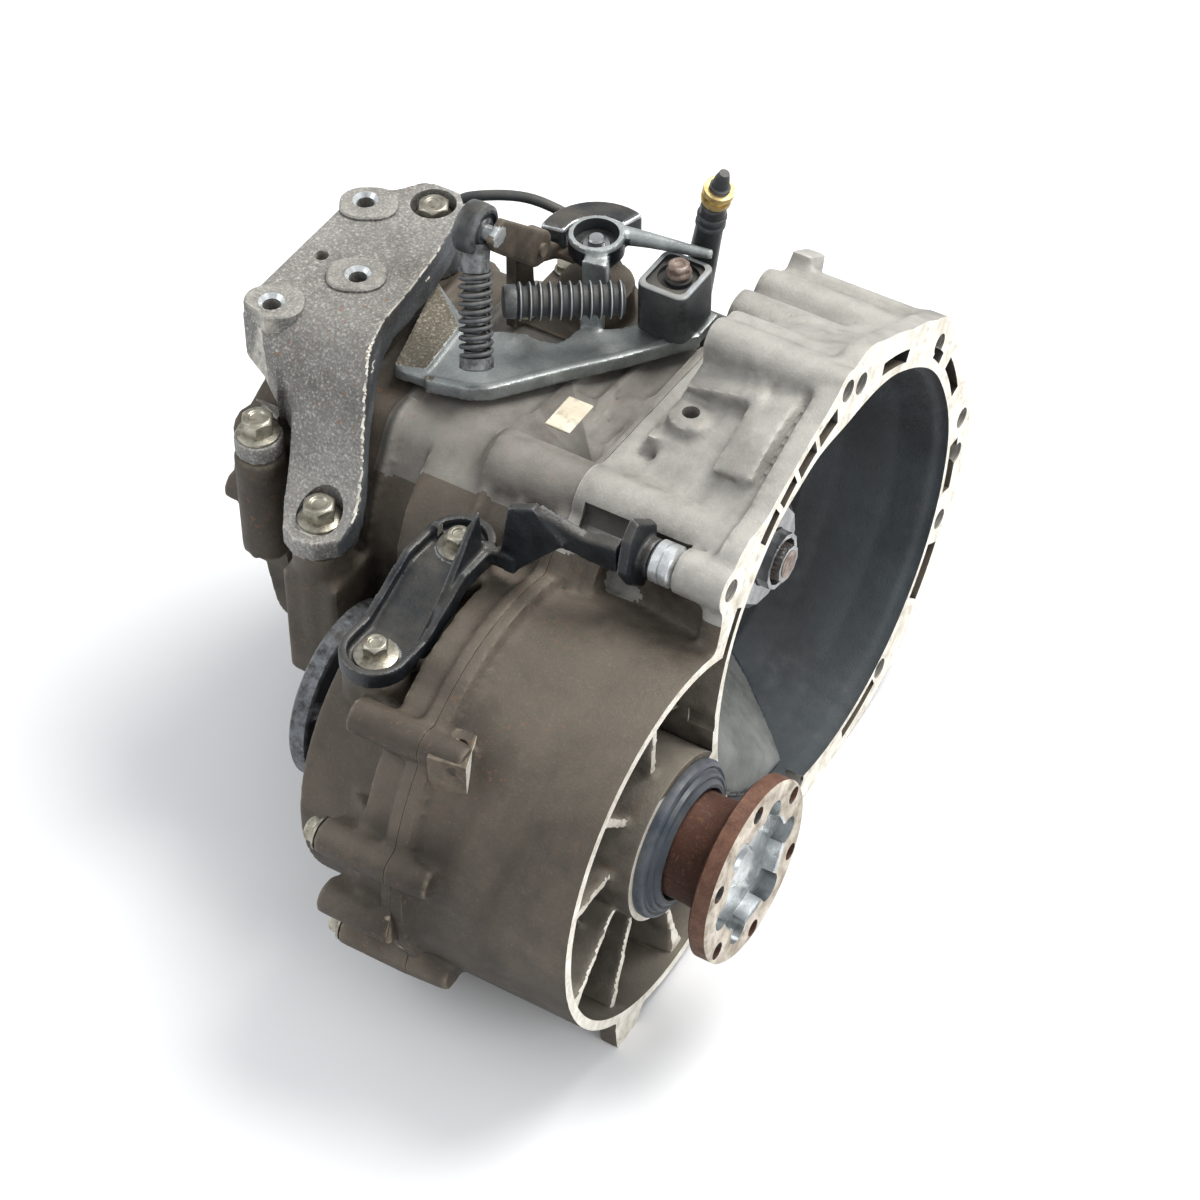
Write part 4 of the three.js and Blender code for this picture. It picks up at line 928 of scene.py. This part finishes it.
def bevel_prism(pts, lo, hi, edge=0.9):
    cx = sum(p[0] for p in pts) / len(pts)
    cy = sum(p[1] for p in pts) / len(pts)
    inner = [(cx + (p[0] - cx) * 0.94, cy + (p[1] - cy) * 0.94) for p in pts]
    n = len(pts)
    verts = lift("Z", pts, lo) + lift("Z", pts, hi - edge) + lift("Z", inner, hi)
    faces = [tuple(range(n))[::-1], tuple(range(2 * n, 3 * n))]
    for k in (0, 1):
        faces += [(k * n + i, k * n + (i + 1) % n, (k + 1) * n + (i + 1) % n,
            (k + 1) * n + i) for i in range(n)]
    return verts, faces


mount = weld(mount, pad(-313, 10, 0.5), pad(-310, -89, 0.5), pad(-284, -46, 0.5))
tools = [bar("Z", -311, -41, 4.2, 100, 150, 32)]
for x, y in MOUNT_HOLES:
    tools.append(bar("Z", x, y, 5.2, 100, 150, 40))
    tools.append(bar("Z", x, y, 5.2, 134.6, 137.4, 40, 7.6))
for x, y, seat in ((-282, 30, 123), (-242, -152, 55), (-297, -130, 76)):
    tools.append(bar("Z", x, y, 5.4, 30, 150, 32))
    tools.append(bar("Z", x, y, 13.4, seat, 150, 56))
tools.append(prism("Z", [(-330, -96), (-312, -101), (-298, -108), (-288, -122), (-286, -140),
    (-330, -140)], 78, 140))
mount = carve(mount, *tools)
mount.name = "mount_casting"


def chamfers(c, n):
    test = np.zeros(len(c), bool)
    for x, y in MOUNT_HOLES:
        test |= (np.hypot(c[:, 0] - x, c[:, 1] - y) < 8.3) & (c[:, 2] > 133.9) & (n[:, 2] < 0.97)
    return test


# the bracket's edges turned up and towards +X are painted pale as a painted highlight
paint(mount, BRACKET, (SMOOTH_WALL, lambda c, n: (n[:, 0] > 0.75) & (c[:, 0] > -268)),
    (MACHINED_AND_HIGHLIGHT, lambda c, n: (n[:, 0] > 0.3) & (n[:, 2] > 0.35) & (c[:, 0] > -266) & (c[:, 1] < 0) & (c[:,
        2] > 60)),
    (SILVER, chamfers))
ready(mount, "housing", "cast_bracket", "mount_bracket")

# ---- black support bracket ----
plan = hull2(circle(-151, -150, 20) + circle(-156, -225, 20))
inner = hull2(circle(-151, -150, 15.5) + circle(-156, -225, 15.5))
low = [(-126, 73.3), (-170, 73.3), (-206, 53.3), (-248, 53.3), (-248, 58), (-208, 58), (-172, 78),
    (-126, 78)]
high = [(-126, 73.3), (-170, 73.3), (-206, 53.3), (-248, 53.3), (-248, 64.5), (-208, 64.5),
    (-172, 84.5), (-126, 84.5)]
dish = shape(put("support_casting", prism("X", high, -200, -100)), [prism("Z", plan, 0, 200)],
    "INTERSECT")
hollow = shape(put("hollow_tool", prism("X", [(-120, 78), (-172, 78), (-208, 58), (-254, 58),
    (-254, 120), (-120, 120)],
    -200, -100)), [prism("Z", inner, 0, 200)], "INTERSECT")
dish = carve(dish, hollow)
ridge = put(
    "ridge",
    wedge((-141, -152, 76), (-141, -146, 76), (-141, -208, 58), (-141, -202, 58), (-136, -206, 56),
        (-136, -150, 75), (-141, -150, 112), (-137, -150, 112)),
    wedge((-172, -152, 80), (-172, -147, 80), (-116, -150, 74), (-116, -145, 74), (-168, -151, 88),
        (-168, -147, 88), (-118, -149, 84), (-118, -144, 84)),
    wedge((-128, -148, 74), (-128, -143, 74), (-121, -148, 120), (-121, -143, 121), (-106, -147, 126),
        (-106, -142, 127), (-116, -148, 76), (-112, -143, 80), (-88, -145, 106), (-88, -140, 108)),
    wedge((-98, -146, 104), (-98, -140, 104), (-106, -147, 124), (-104, -140, 125), (-80, -140, 98),
        (-80, -134, 98), (-80, -140, 112), (-80, -134, 113)),
    wedge((-82, -141, 98), (-82, -134, 98), (-82, -141, 112), (-82, -134, 113), (-60, -138, 94),
        (-60, -130, 94), (-60, -138, 112), (-60, -130, 114)),
    prism("X", [(-144, 101), (-139, 121), (-129, 130), (-108, 112), (-108, 96), (-114, 80), (-122, 72),
        (-134, 84)],
        -57, -52, [(-142, 101), (-137, 119), (-129, 127), (-109, 111), (-109, 97), (-115, 82),
            (-122, 75), (-133, 86)]),
    bar("X", *STUD_BOSS, 11, -52, -46),
)
support = fuse(join(dish, ridge), 1.1, 2)
tools = []
for x, y, p in ((-151, -150, 73), (-156, -225, 53)):
    tools += [bar("Z", x, y, 5.4, 30, 120, 28), bar("Z", x, y, 13, p + 5, 130, 48)]
tools += [bar("X", *STUD_BOSS, 5.3, -60, -40, 32), bar("X", *STUD_BOSS, 12, -75, -57.2, 32),
    box(-200, -100, -260, -120, 30, 53.3), box(-46, -20, -160, -100, 60, 140)]
support = carve(support, *tools)
support.name = "support_casting"
paint(support, BLACK)
ready(support, "housing", "black_steel", "support_bracket")

stud = put(
    "support_pin",
    bar("X", *STUD_BOSS, 5, -62, -6, 32),
    turned("X", *STUD_BOSS, [(-45.7, 0), (-45.7, 10), (-44, 12), (-39.4, 12), (-39, 11), (-38.2, 11),
        (-37.8, 12), (-33.4, 12), (-31.3, 9.5), (-31.3, 0)], 56),
    bar("X", *STUD_BOSS, 9.5, -64, -57.3, 6),
)
paint(stud, SILVER)
ready(stud, "housing", "zinc", "support_stud")

# ---- drive flanges and seals ----


def drive_flange(name, body, node, face, sign):
    def along(pairs):
        return [(face + sign * s, r) for s, r in pairs]
    neck = -52 if sign > 0 else -32
    inner = -176 if sign > 0 else -86
    obj = put(name, turned("X", *DIFF, along([
        (0, 0), (0, 52.8), (-1.2, 54), (-10.5, 54), (-12, 52), (-14, 40), (-17, 34.5), (-21, 32.4),
        (-28, 31.4), (-34, 31), (neck, 32), (neck, 16), (inner, 16), (inner, 0)]), 128))
    lo, hi = sorted((face, face - sign * 9))
    tools = [turned("X", *DIFF, along([(2, 0), (2, 34), (0, 34), (-1, 33), (-9, 32), (-9, 12), (-7, 10),
        (-7, 0)]), 96)]
    for i in range(6):
        t = TAU * (i + 0.5) / 6
        y, z = DIFF[0] + 47 * cos(t), DIFF[1] + 47 * sin(t)
        a, b = sorted((face + sign, face - sign * 20))
        tools.append(bar("X", y, z, 5.2, a, b, 32))
        u = TAU * i / 6
        a, b = sorted((face + sign * 2, face - sign * 8))
        tools.append(bar("X", DIFF[0] + 35 * cos(u), DIFF[1] + 35 * sin(u), 8.5, a, b, 40))
    obj = carve(obj, *tools)

    def front(c, n):
        return (n[:, 0] * sign > 0.9) & (np.abs(c[:, 0] - face) < 0.3)

    def dish_inside(c, n):
        return (away(c, *DIFF) < 44.5) & ((c[:, 0] - face) * sign > -9.6) & ((c[:,
            0] - face) * sign < -0.2)

    if sign > 0:
        paint(obj, RUSTY, (PALE, front), (GLOSS, dish_inside),
            (PALE, lambda c, n: (away(c, *DIFF) > 52.5) & ((c[:, 0] - face) * sign > -3)))
    else:
        paint(obj, BLACK, (STEEL, front), (BLACK, dish_inside))
    return ready(obj, body, "rusty_steel", node)


drive_flange("drive_flange_right", "right_flange", "flange_right", 50, 1)
drive_flange("drive_flange_left", "left_flange", "flange_left", -218, -1)
seal = put("lip_seal_right", turned("X", *DIFF, [
    (-6, 39), (0.2, 39), (0.3, 46.4), (3, 46.8), (5.4, 45.8), (6.4, 44), (5.6, 42.6), (6.2, 41.4),
    (8.6, 40.6), (9.4, 39.2), (8.8, 37.8), (10, 36.8), (11.4, 35.4), (11, 33.4), (9, 32.4),
    (-6, 32.3)], 96))
paint(seal, SEAL)
ready(seal, "housing", "rubber", "seal_right")
seal = put("lip_seal_left", turned("X", *DIFF, [
    (-182, 39), (-190.4, 39), (-192, 38.2), (-192.4, 36), (-191, 34.6), (-191.6, 32.4), (-182, 32.3)],
    96))
paint(seal, SEAL)
ready(seal, "housing", "rubber", "seal_left")

# ---- shift linkage on top of the case ----
tower = fuse(put(
    "selector_casting",
    prism("Z", rounded(-218, -142, 8, 66, 5), 92.3, 95.2),
    bar("Z", *SELECTOR, 22, 95, 117), bar("Z", *SELECTOR, 22.6, 95, 97),
    prism("X", [(2, 93), (26, 93), (20, 154), (16, 158), (8, 158), (4, 154)], -217, -210),
), 1.5, 2)
tower = carve(tower, box(-300, -100, -60, 120, 80, 92.3), bar("Z", *SELECTOR, 17, 88, 114),
    bar("Z", *SELECTOR, 8.3, 80, 130, 32))
tower = weld(tower, bar("X", 12, 150, 4, -214, -196, 24))
paint(tower, CASE)
ready(tower, "housing", "cast_dark", "selector_cover")
for i, (x, y) in enumerate(((-211, 15), (-149, 59), (-211, 59))):
    screw = put(f"cover_screw_{i + 1}", bar("Z", x, y, 6.2, 96, 101.5, 6),
        bar("Z", x, y, 7, 95.6, 97.2, 32))
    paint(bevel(screw, 0.6), ZINC)
    ready(screw, "housing", "zinc")

shaft = put("selector_spindle", turned("Z", *SELECTOR,
    [(50, 0), (50, 8), (142, 8), (144.5, 7.6), (144.5, 5), (148, 5), (149, 4), (149, 0)], 48),
    prism("Z", [(-184, 34), (-184, 12), (-181, 6), (-175, 6), (-172, 12), (-172, 34)], 54, 66))
paint(shaft, STEEL)
ready(shaft, "shifter", "steel", "selector_shaft")

outline = [
    (-243, -73), (-222, -72), (-198, -66), (-188, -60), (-180, -50), (-173, -41), (-158, -22),
    (-140, -1), (-120, 26), (-111, 38), (-111, 60), (-136, 60), (-142, 38), (-147, 29), (-152, 22),
    (-163, 14), (-163, 19), (-172, 12), (-173, 0), (-176, -8), (-186, -11), (-195, -10),
    (-208, -15), (-222, -24), (-240, -12), (-262, 2)]
lower = [(-243, -73), (-222, -72), (-198, -66), (-188, -60), (-180, -50), (-173, -41), (-158, -22),
    (-140, -1), (-120, 26), (-111, 38)]
solid = [
    prism("Z", outline, 99, 105.5),
    prism("Z", [(-173, 11), (-162, 14), (-162, 24), (-173, 22)], 100, 124),
    prism("Z", [(-175, 17), (-161, 20), (-165, 32), (-176, 30)], 121.5, 148),
    bar("Z", *SELECTOR, 16, 138, 152, 64),
    tube([(-172, 49, 146), (-152, 53, 147), (-130, 57, 147), (-116, 60, 147)], [6, 4.6, 3.4, 2.8], 16),
    wedge((-243, -73, 99), (-222, -72, 99), (-262, 2, 99), (-222, -24, 99), (-243, -72, 107.8),
        (-226, -66, 107.8), (-262, 1, 107.8), (-230, -26, 107.8)),
]
for p, q in zip(lower[1:], lower[2:]):
    solid.append(beam((*p, 103.5), (*q, 103.5), 5, 9.5))
for p in lower[2:-1]:
    solid.append(bar("Z", *p, 2.5, 98.8, 108.2, 20))
lever = put("lever_casting", *solid)
lever = fuse(lever, 1.2, 2)
lever = carve(
    lever,
    bar("Z", *SELECTOR, 13, 144, 160, 64),
    bar("Z", *SELECTOR, 8.3, 130, 150, 32),
    bar("Z", *SELECTOR, 24, 90, 121.5, 48),
    bar("Z", *CABLE_PIN, 4.3, 90, 120, 24),
    box(-144.3, -111.7, 21.7, 58.3, 108, 142),
)
paint(lever, BRIGHT, (BROWNED, lambda c, n: (c[:, 2] > 106) & (n[:, 2] > 0.9) & (c[:, 0] < -218)),
    (PLASTIC, lambda c, n: (np.hypot(c[:, 0] + 178, c[:, 1] - 38) < 14) & (c[:, 2] > 143) & (c[:,
        2] < 151)),
    (BLACK, lambda c, n: (np.hypot(c[:, 0] + 178, c[:, 1] - 38) < 19) & (c[:, 2] > 120) & (c[:,
        2] < 149)
        & (n[:, 2] < 0.5) & (np.hypot(c[:, 0] + 178, c[:, 1] - 38) > 14.5)))
ready(lever, "shifter", "bright_cast", "gearshift_lever")

relay = put(
    "relay_casting",
    bar("X", 12, 150, 11, -209, -198, 48),
    prism("X", [(4, 142), (16, 160), (-24, 196), (-38, 190), (-34, 180)], -203, -198),
    prism("X", [(12, 139), (22, 147), (38, 134.5), (44, 130), (30, 129.5)], -206, -199),
    box(-200, -188, 30, 40, 129.8, 134),
)
relay = fuse(relay, 1.2, 2)
relay = carve(relay, bar("X", 12, 150, 4.3, -230, -190, 24))
relay = weld(relay, bar("X", -30, 188, 4.5, -218, -200, 32))
paint(relay, CASE, (SILVER, lambda c, n: np.hypot(c[:, 1] + 30, c[:, 2] - 188) < 6))
ready(relay, "relay", "cast_dark", "relay_lever")

# the arc-shaped weight beside the ring, dark with a silver edge
arc = []
for i in range(15):
    t = radians(70 + 120 * i / 14)
    arc.append((-178 + 34 * cos(t), 38 + 34 * sin(t)))
for i in range(14, -1, -1):
    t = radians(70 + 120 * i / 14)
    arc.append((-178 + 19 * cos(t), 38 + 19 * sin(t)))
weight = put("lever_weight", prism("Z", arc, 132, 148))
weight = settle(bevel(weight, 2, 3))
paint(weight, BLACK, (SILVER, lambda c, n: (n[:, 2] > 0.2) & (n[:, 2] < 0.95)))
ready(weight, "shifter", "bright_cast")

ROD = Vector((0.256, -0.426, -0.868)).normalized()
STUD = Vector((-214, -30, 188))


def hang(t):
    return tuple(STUD + ROD * t)


eye = put("cable_eye", turned("X", -30, 188, [
    (-221, 0), (-221, 12.6), (-219.5, 14.6), (-216, 15), (-212, 15), (-208.5, 14.6), (-207, 12.6),
    (-207, 10.8), (-208, 10.2), (-208, 8), (-207, 7.4), (-207, 0)], 64),
    rod(hang(8), hang(24), 8.6, 7.4))
eye = carve(eye, bar("X", -30, 188, 4.8, -218.5, -200, 28))
ready(paint(eye, PLASTIC), "select_cable", "plastic", "select_cable_end")
core = [(hang(19), 7.2)]
for k in range(15):
    a, b = 21 + k * 3.3, 21 + k * 3.3 + 1.7
    core += [(hang(a), 5.6), (hang(a + 0.4), 7), (hang(b), 7), (hang(b + 0.3), 5.6)]
core += [(hang(70.6), 7.4), (hang(71), 9.4), (hang(77), 9.6), (hang(78), 8)]
core = put("cable_rod", tube([p for p, r in core], [r for p, r in core], 28))
ready(paint(core, PLASTIC), "select_cable", "plastic")
side = ROD.orthogonal().normalized()
other = ROD.cross(side)
turns = []
for i in range(10 * 28 + 1):
    t = i / 28
    turns.append(tuple(STUD + ROD * (22.5 + 4.75 * t) + 8.4
        * (side * cos(TAU * t) + other * sin(TAU * t))))
spring = put("cable_spring", tube(turns, 1.3, 8))
ready(paint(spring, RUBBER), "select_cable", "plastic", angle=60)

start, end = Vector((-194, -24, 140)), Vector((-145, 13, 136))
line = end - start
folds, radii = [], []
for k in range(11):
    a = k / 11
    for share, r in ((0.0, 8.4), (0.28, 8.6), (0.5, 10.9), (0.62, 10.9), (0.85, 8.6)):
        folds.append(tuple(start + line * (a + share / 11)))
        radii.append(r)
folds += [tuple(end)]
radii += [8.4]
boot = put("cable_boot", tube(folds, radii, 36))
axis = line.normalized()
foot = np.array(start)


# the bellows' crests are painted pale grey as a painted highlight
def crest(c, n):
    rel = c - foot
    along = rel @ np.array(axis)
    return np.linalg.norm(rel - np.outer(along, np.array(axis)), axis=1) > 10.4


ready(paint(boot, RUBBER, (RIDGE_HIGHLIGHT, crest)), "shift_cable", "rubber", "shift_cable_boot", angle=25)
cap = put("boot_end", rod(tuple(start - line * 0.1), tuple(start + line * 0.02), 9.2, 10))
ready(paint(settle(bevel(cap, 1.2)), PLASTIC), "shift_cable", "plastic")

block = put("cable_block", prism("Z", rounded(-144, -112, 22, 58, 6), 108.3, 142))
block = settle(bevel(block, 1.6, 3, 60))
block = carve(block, bar("Z", *CABLE_PIN, 4.3, 100, 150, 28),
    prism("Z", rounded(-140.6, -115.4, 25.4, 54.6, 4.4), 139.4, 150),
    turned("Z", *CABLE_PIN, [(136.4, 7.8), (136.4, 12), (143, 12), (143, 7.8)], 48))
# the block's top rim is painted pale grey as a painted highlight
paint(block, PLASTIC, (RIDGE_HIGHLIGHT, lambda c, n: (c[:, 2] > 141.2) & (n[:, 2] > 0.2)))
ready(block, "shift_cable", "plastic", "shift_cable_end")

# ---- clutch actuation ----
arm = (85.2, 59.7)
slave = put("slave_body", turned("X", *arm, [
    (-165, 0), (-165, 14), (-163, 16), (-150, 16), (-149, 14.6), (-142, 14.6), (-141, 16), (-102, 16),
    (-100, 14), (-100, 12), (-84.3, 12), (-84.3, 0)], 64), tube(
        [(-142, 83, 66), (-139, 82.3, 86), (-134, 81, 118), (-130, 80, 142), (-126, 79, 166)],
        [9.4, 9.2, 8.8, 8.2, 7.6], 32))
slave = fuse(slave, 1.4, 2)
slave = carve(slave, bar("X", *arm, 4.5, -150, -80, 28),
    rod((-126.2, 79.2, 167.3), (-120, 77.6, 200), 9))
paint(slave, PLASTIC)
ready(slave, "housing", "plastic", "slave_cylinder")
for k, (a, b, r) in enumerate(((0.84, 0.87, 8.7), (0.90, 0.93, 8.6))):
    p, q = Vector((-142, 83, 66)), Vector((-126, 79, 166))
    ring = put(f"slave_band_{k + 1}", rod(tuple(p.lerp(q, a)), tuple(p.lerp(q, b)), r))
    ready(paint(settle(bevel(ring, 0.8)), RUBBER), "housing", "rubber")
neck = put("bleed_neck", tube([(-125.7, 79, 167.6), (-125.2, 78.9, 169.4), (-125.1, 78.9, 169.5),
    (-124.5, 78.8, 172), (-124.4, 78.8, 172.2), (-123.6, 78.6, 175.2), (-123.5, 78.6, 175.4),
    (-122.6, 78.4, 178.6)],
    [7.6, 7.6, 8.8, 8.8, 6.8, 6.8, 9.2, 9], 36))
ready(paint(neck, BRASS), "housing", "brass", "bleed_screw")
cap = put("bleed_hood", tube([(-122.5, 78.3, 179), (-122, 78.2, 181), (-121.9, 78.2, 181.2),
    (-121, 78, 186), (-119.5, 77.8, 191)],
    [6, 6, 4.8, 4.4, 3], 28))
ready(paint(cap, RUBBER), "housing", "rubber", "bleed_cap")
pipe = put("clutch_line", tube(curve([(-296, 66, 100), (-276, 60, 122), (-240, 70, 128),
    (-205, 80, 110), (-182, 85, 74), (-167.5, 85.2, 59.7)], 10), 3.2, 16))
ready(paint(pipe, RUBBER), "housing", "rubber", "clutch_pipe")

# ---- input shaft and release parts, seen in the bell ----
splines = []
for i in range(48):
    t = TAU * i / 48
    r = 11.5 if i % 2 else 9.9
    splines += [(r * cos(t - 0.03), r * sin(t - 0.03)), (r * cos(t + 0.03), r * sin(t + 0.03))]
tip = put("input_splines", prism("X", splines, -60, -29), bar("X", 0, 0, 8.5, -30, -27.6, 32))
ready(paint(tip, RED), "input", "steel")

# ---- the CAD parts that are shown as they are ----
shown = {
    "input_shaft": STEEL, "release_lever": STEEL, "release_bearing": STEEL, "guide_sleeve": STEEL,
    "oil_plug": ZINC, "reverse_switch": PLASTIC, "diff_case": CASE, "selector_carrier": STEEL,
    "push_rod": STEEL,
}
for name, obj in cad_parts.items():
    if obj.hide_render:
        continue
    material = shown.get(name, SILVER if name.startswith("sleeve_") else STEEL)
    obj.data.materials.clear()
    obj.data.materials.append(material)
    if name in ("release_lever", "release_bearing", "guide_sleeve", "oil_plug", "reverse_switch"):
        bevel(obj, 0.6)

# ---- floor, light and camera ----
mesh = bpy.data.meshes.new("floor")
mesh.from_pydata([(-6, -6, 0), (6, -6, 0), (6, 6, 0), (-6, 6, 0)], [], [(0, 1, 2, 3)])
floor = bpy.data.objects.new("floor", mesh)
bpy.context.scene.collection.objects.link(floor)
ground = bpy.data.materials.new("ground")
ground.use_nodes = True
ground.node_tree.nodes["Principled BSDF"].inputs["Base Color"].default_value = (0.86, 0.86, 0.86, 1)
ground.node_tree.nodes["Principled BSDF"].inputs["Roughness"].default_value = 0.9
mesh.materials.append(ground)

sky = bpy.data.worlds.new("sky")
bpy.context.scene.world = sky
sky.use_nodes = True
sky.node_tree.nodes["Background"].inputs["Color"].default_value = (0.95, 0.97, 1.0, 1)
sky.node_tree.nodes["Background"].inputs["Strength"].default_value = 0.75


def lamp(name, spot, aim, size, power, color=(1, 1, 1)):
    data = bpy.data.lights.new(name, "AREA")
    data.shape = "DISK"
    data.size = size
    data.energy = power
    data.color = color
    obj = bpy.data.objects.new(name, data)
    obj.location = spot
    obj.rotation_mode = "QUATERNION"
    obj.rotation_quaternion = (Vector(aim) - Vector(spot)).to_track_quat("-Z", "Y")
    bpy.context.scene.collection.objects.link(obj)


lamp("key", (0.5, 0.9, 1.9), (0, 0, 0.15), 1.2, 42, (1, 0.99, 0.97))
lamp("fill", (-1.4, -0.9, 1.3), (0, 0, 0.15), 1.4, 10, (0.95, 0.97, 1))
lamp("side", (1.6, -0.4, 0.9), (0, 0, 0.12), 0.9, 9)

camera = bpy.data.objects.new("camera", bpy.data.cameras.new("camera"))
camera.data.lens = 102.08
camera.data.sensor_width = 36
camera.location = (0.7254, -1.1657, 1.5302)
az, el = radians(31), radians(45.5)
back = Vector((sin(az) * cos(el), -cos(az) * cos(el), sin(el)))
camera.rotation_mode = "QUATERNION"
camera.rotation_quaternion = (-back).to_track_quat("-Z", "Y")
bpy.context.scene.collection.objects.link(camera)
bpy.context.scene.camera = camera
bpy.context.scene.view_settings.view_transform = "Standard"
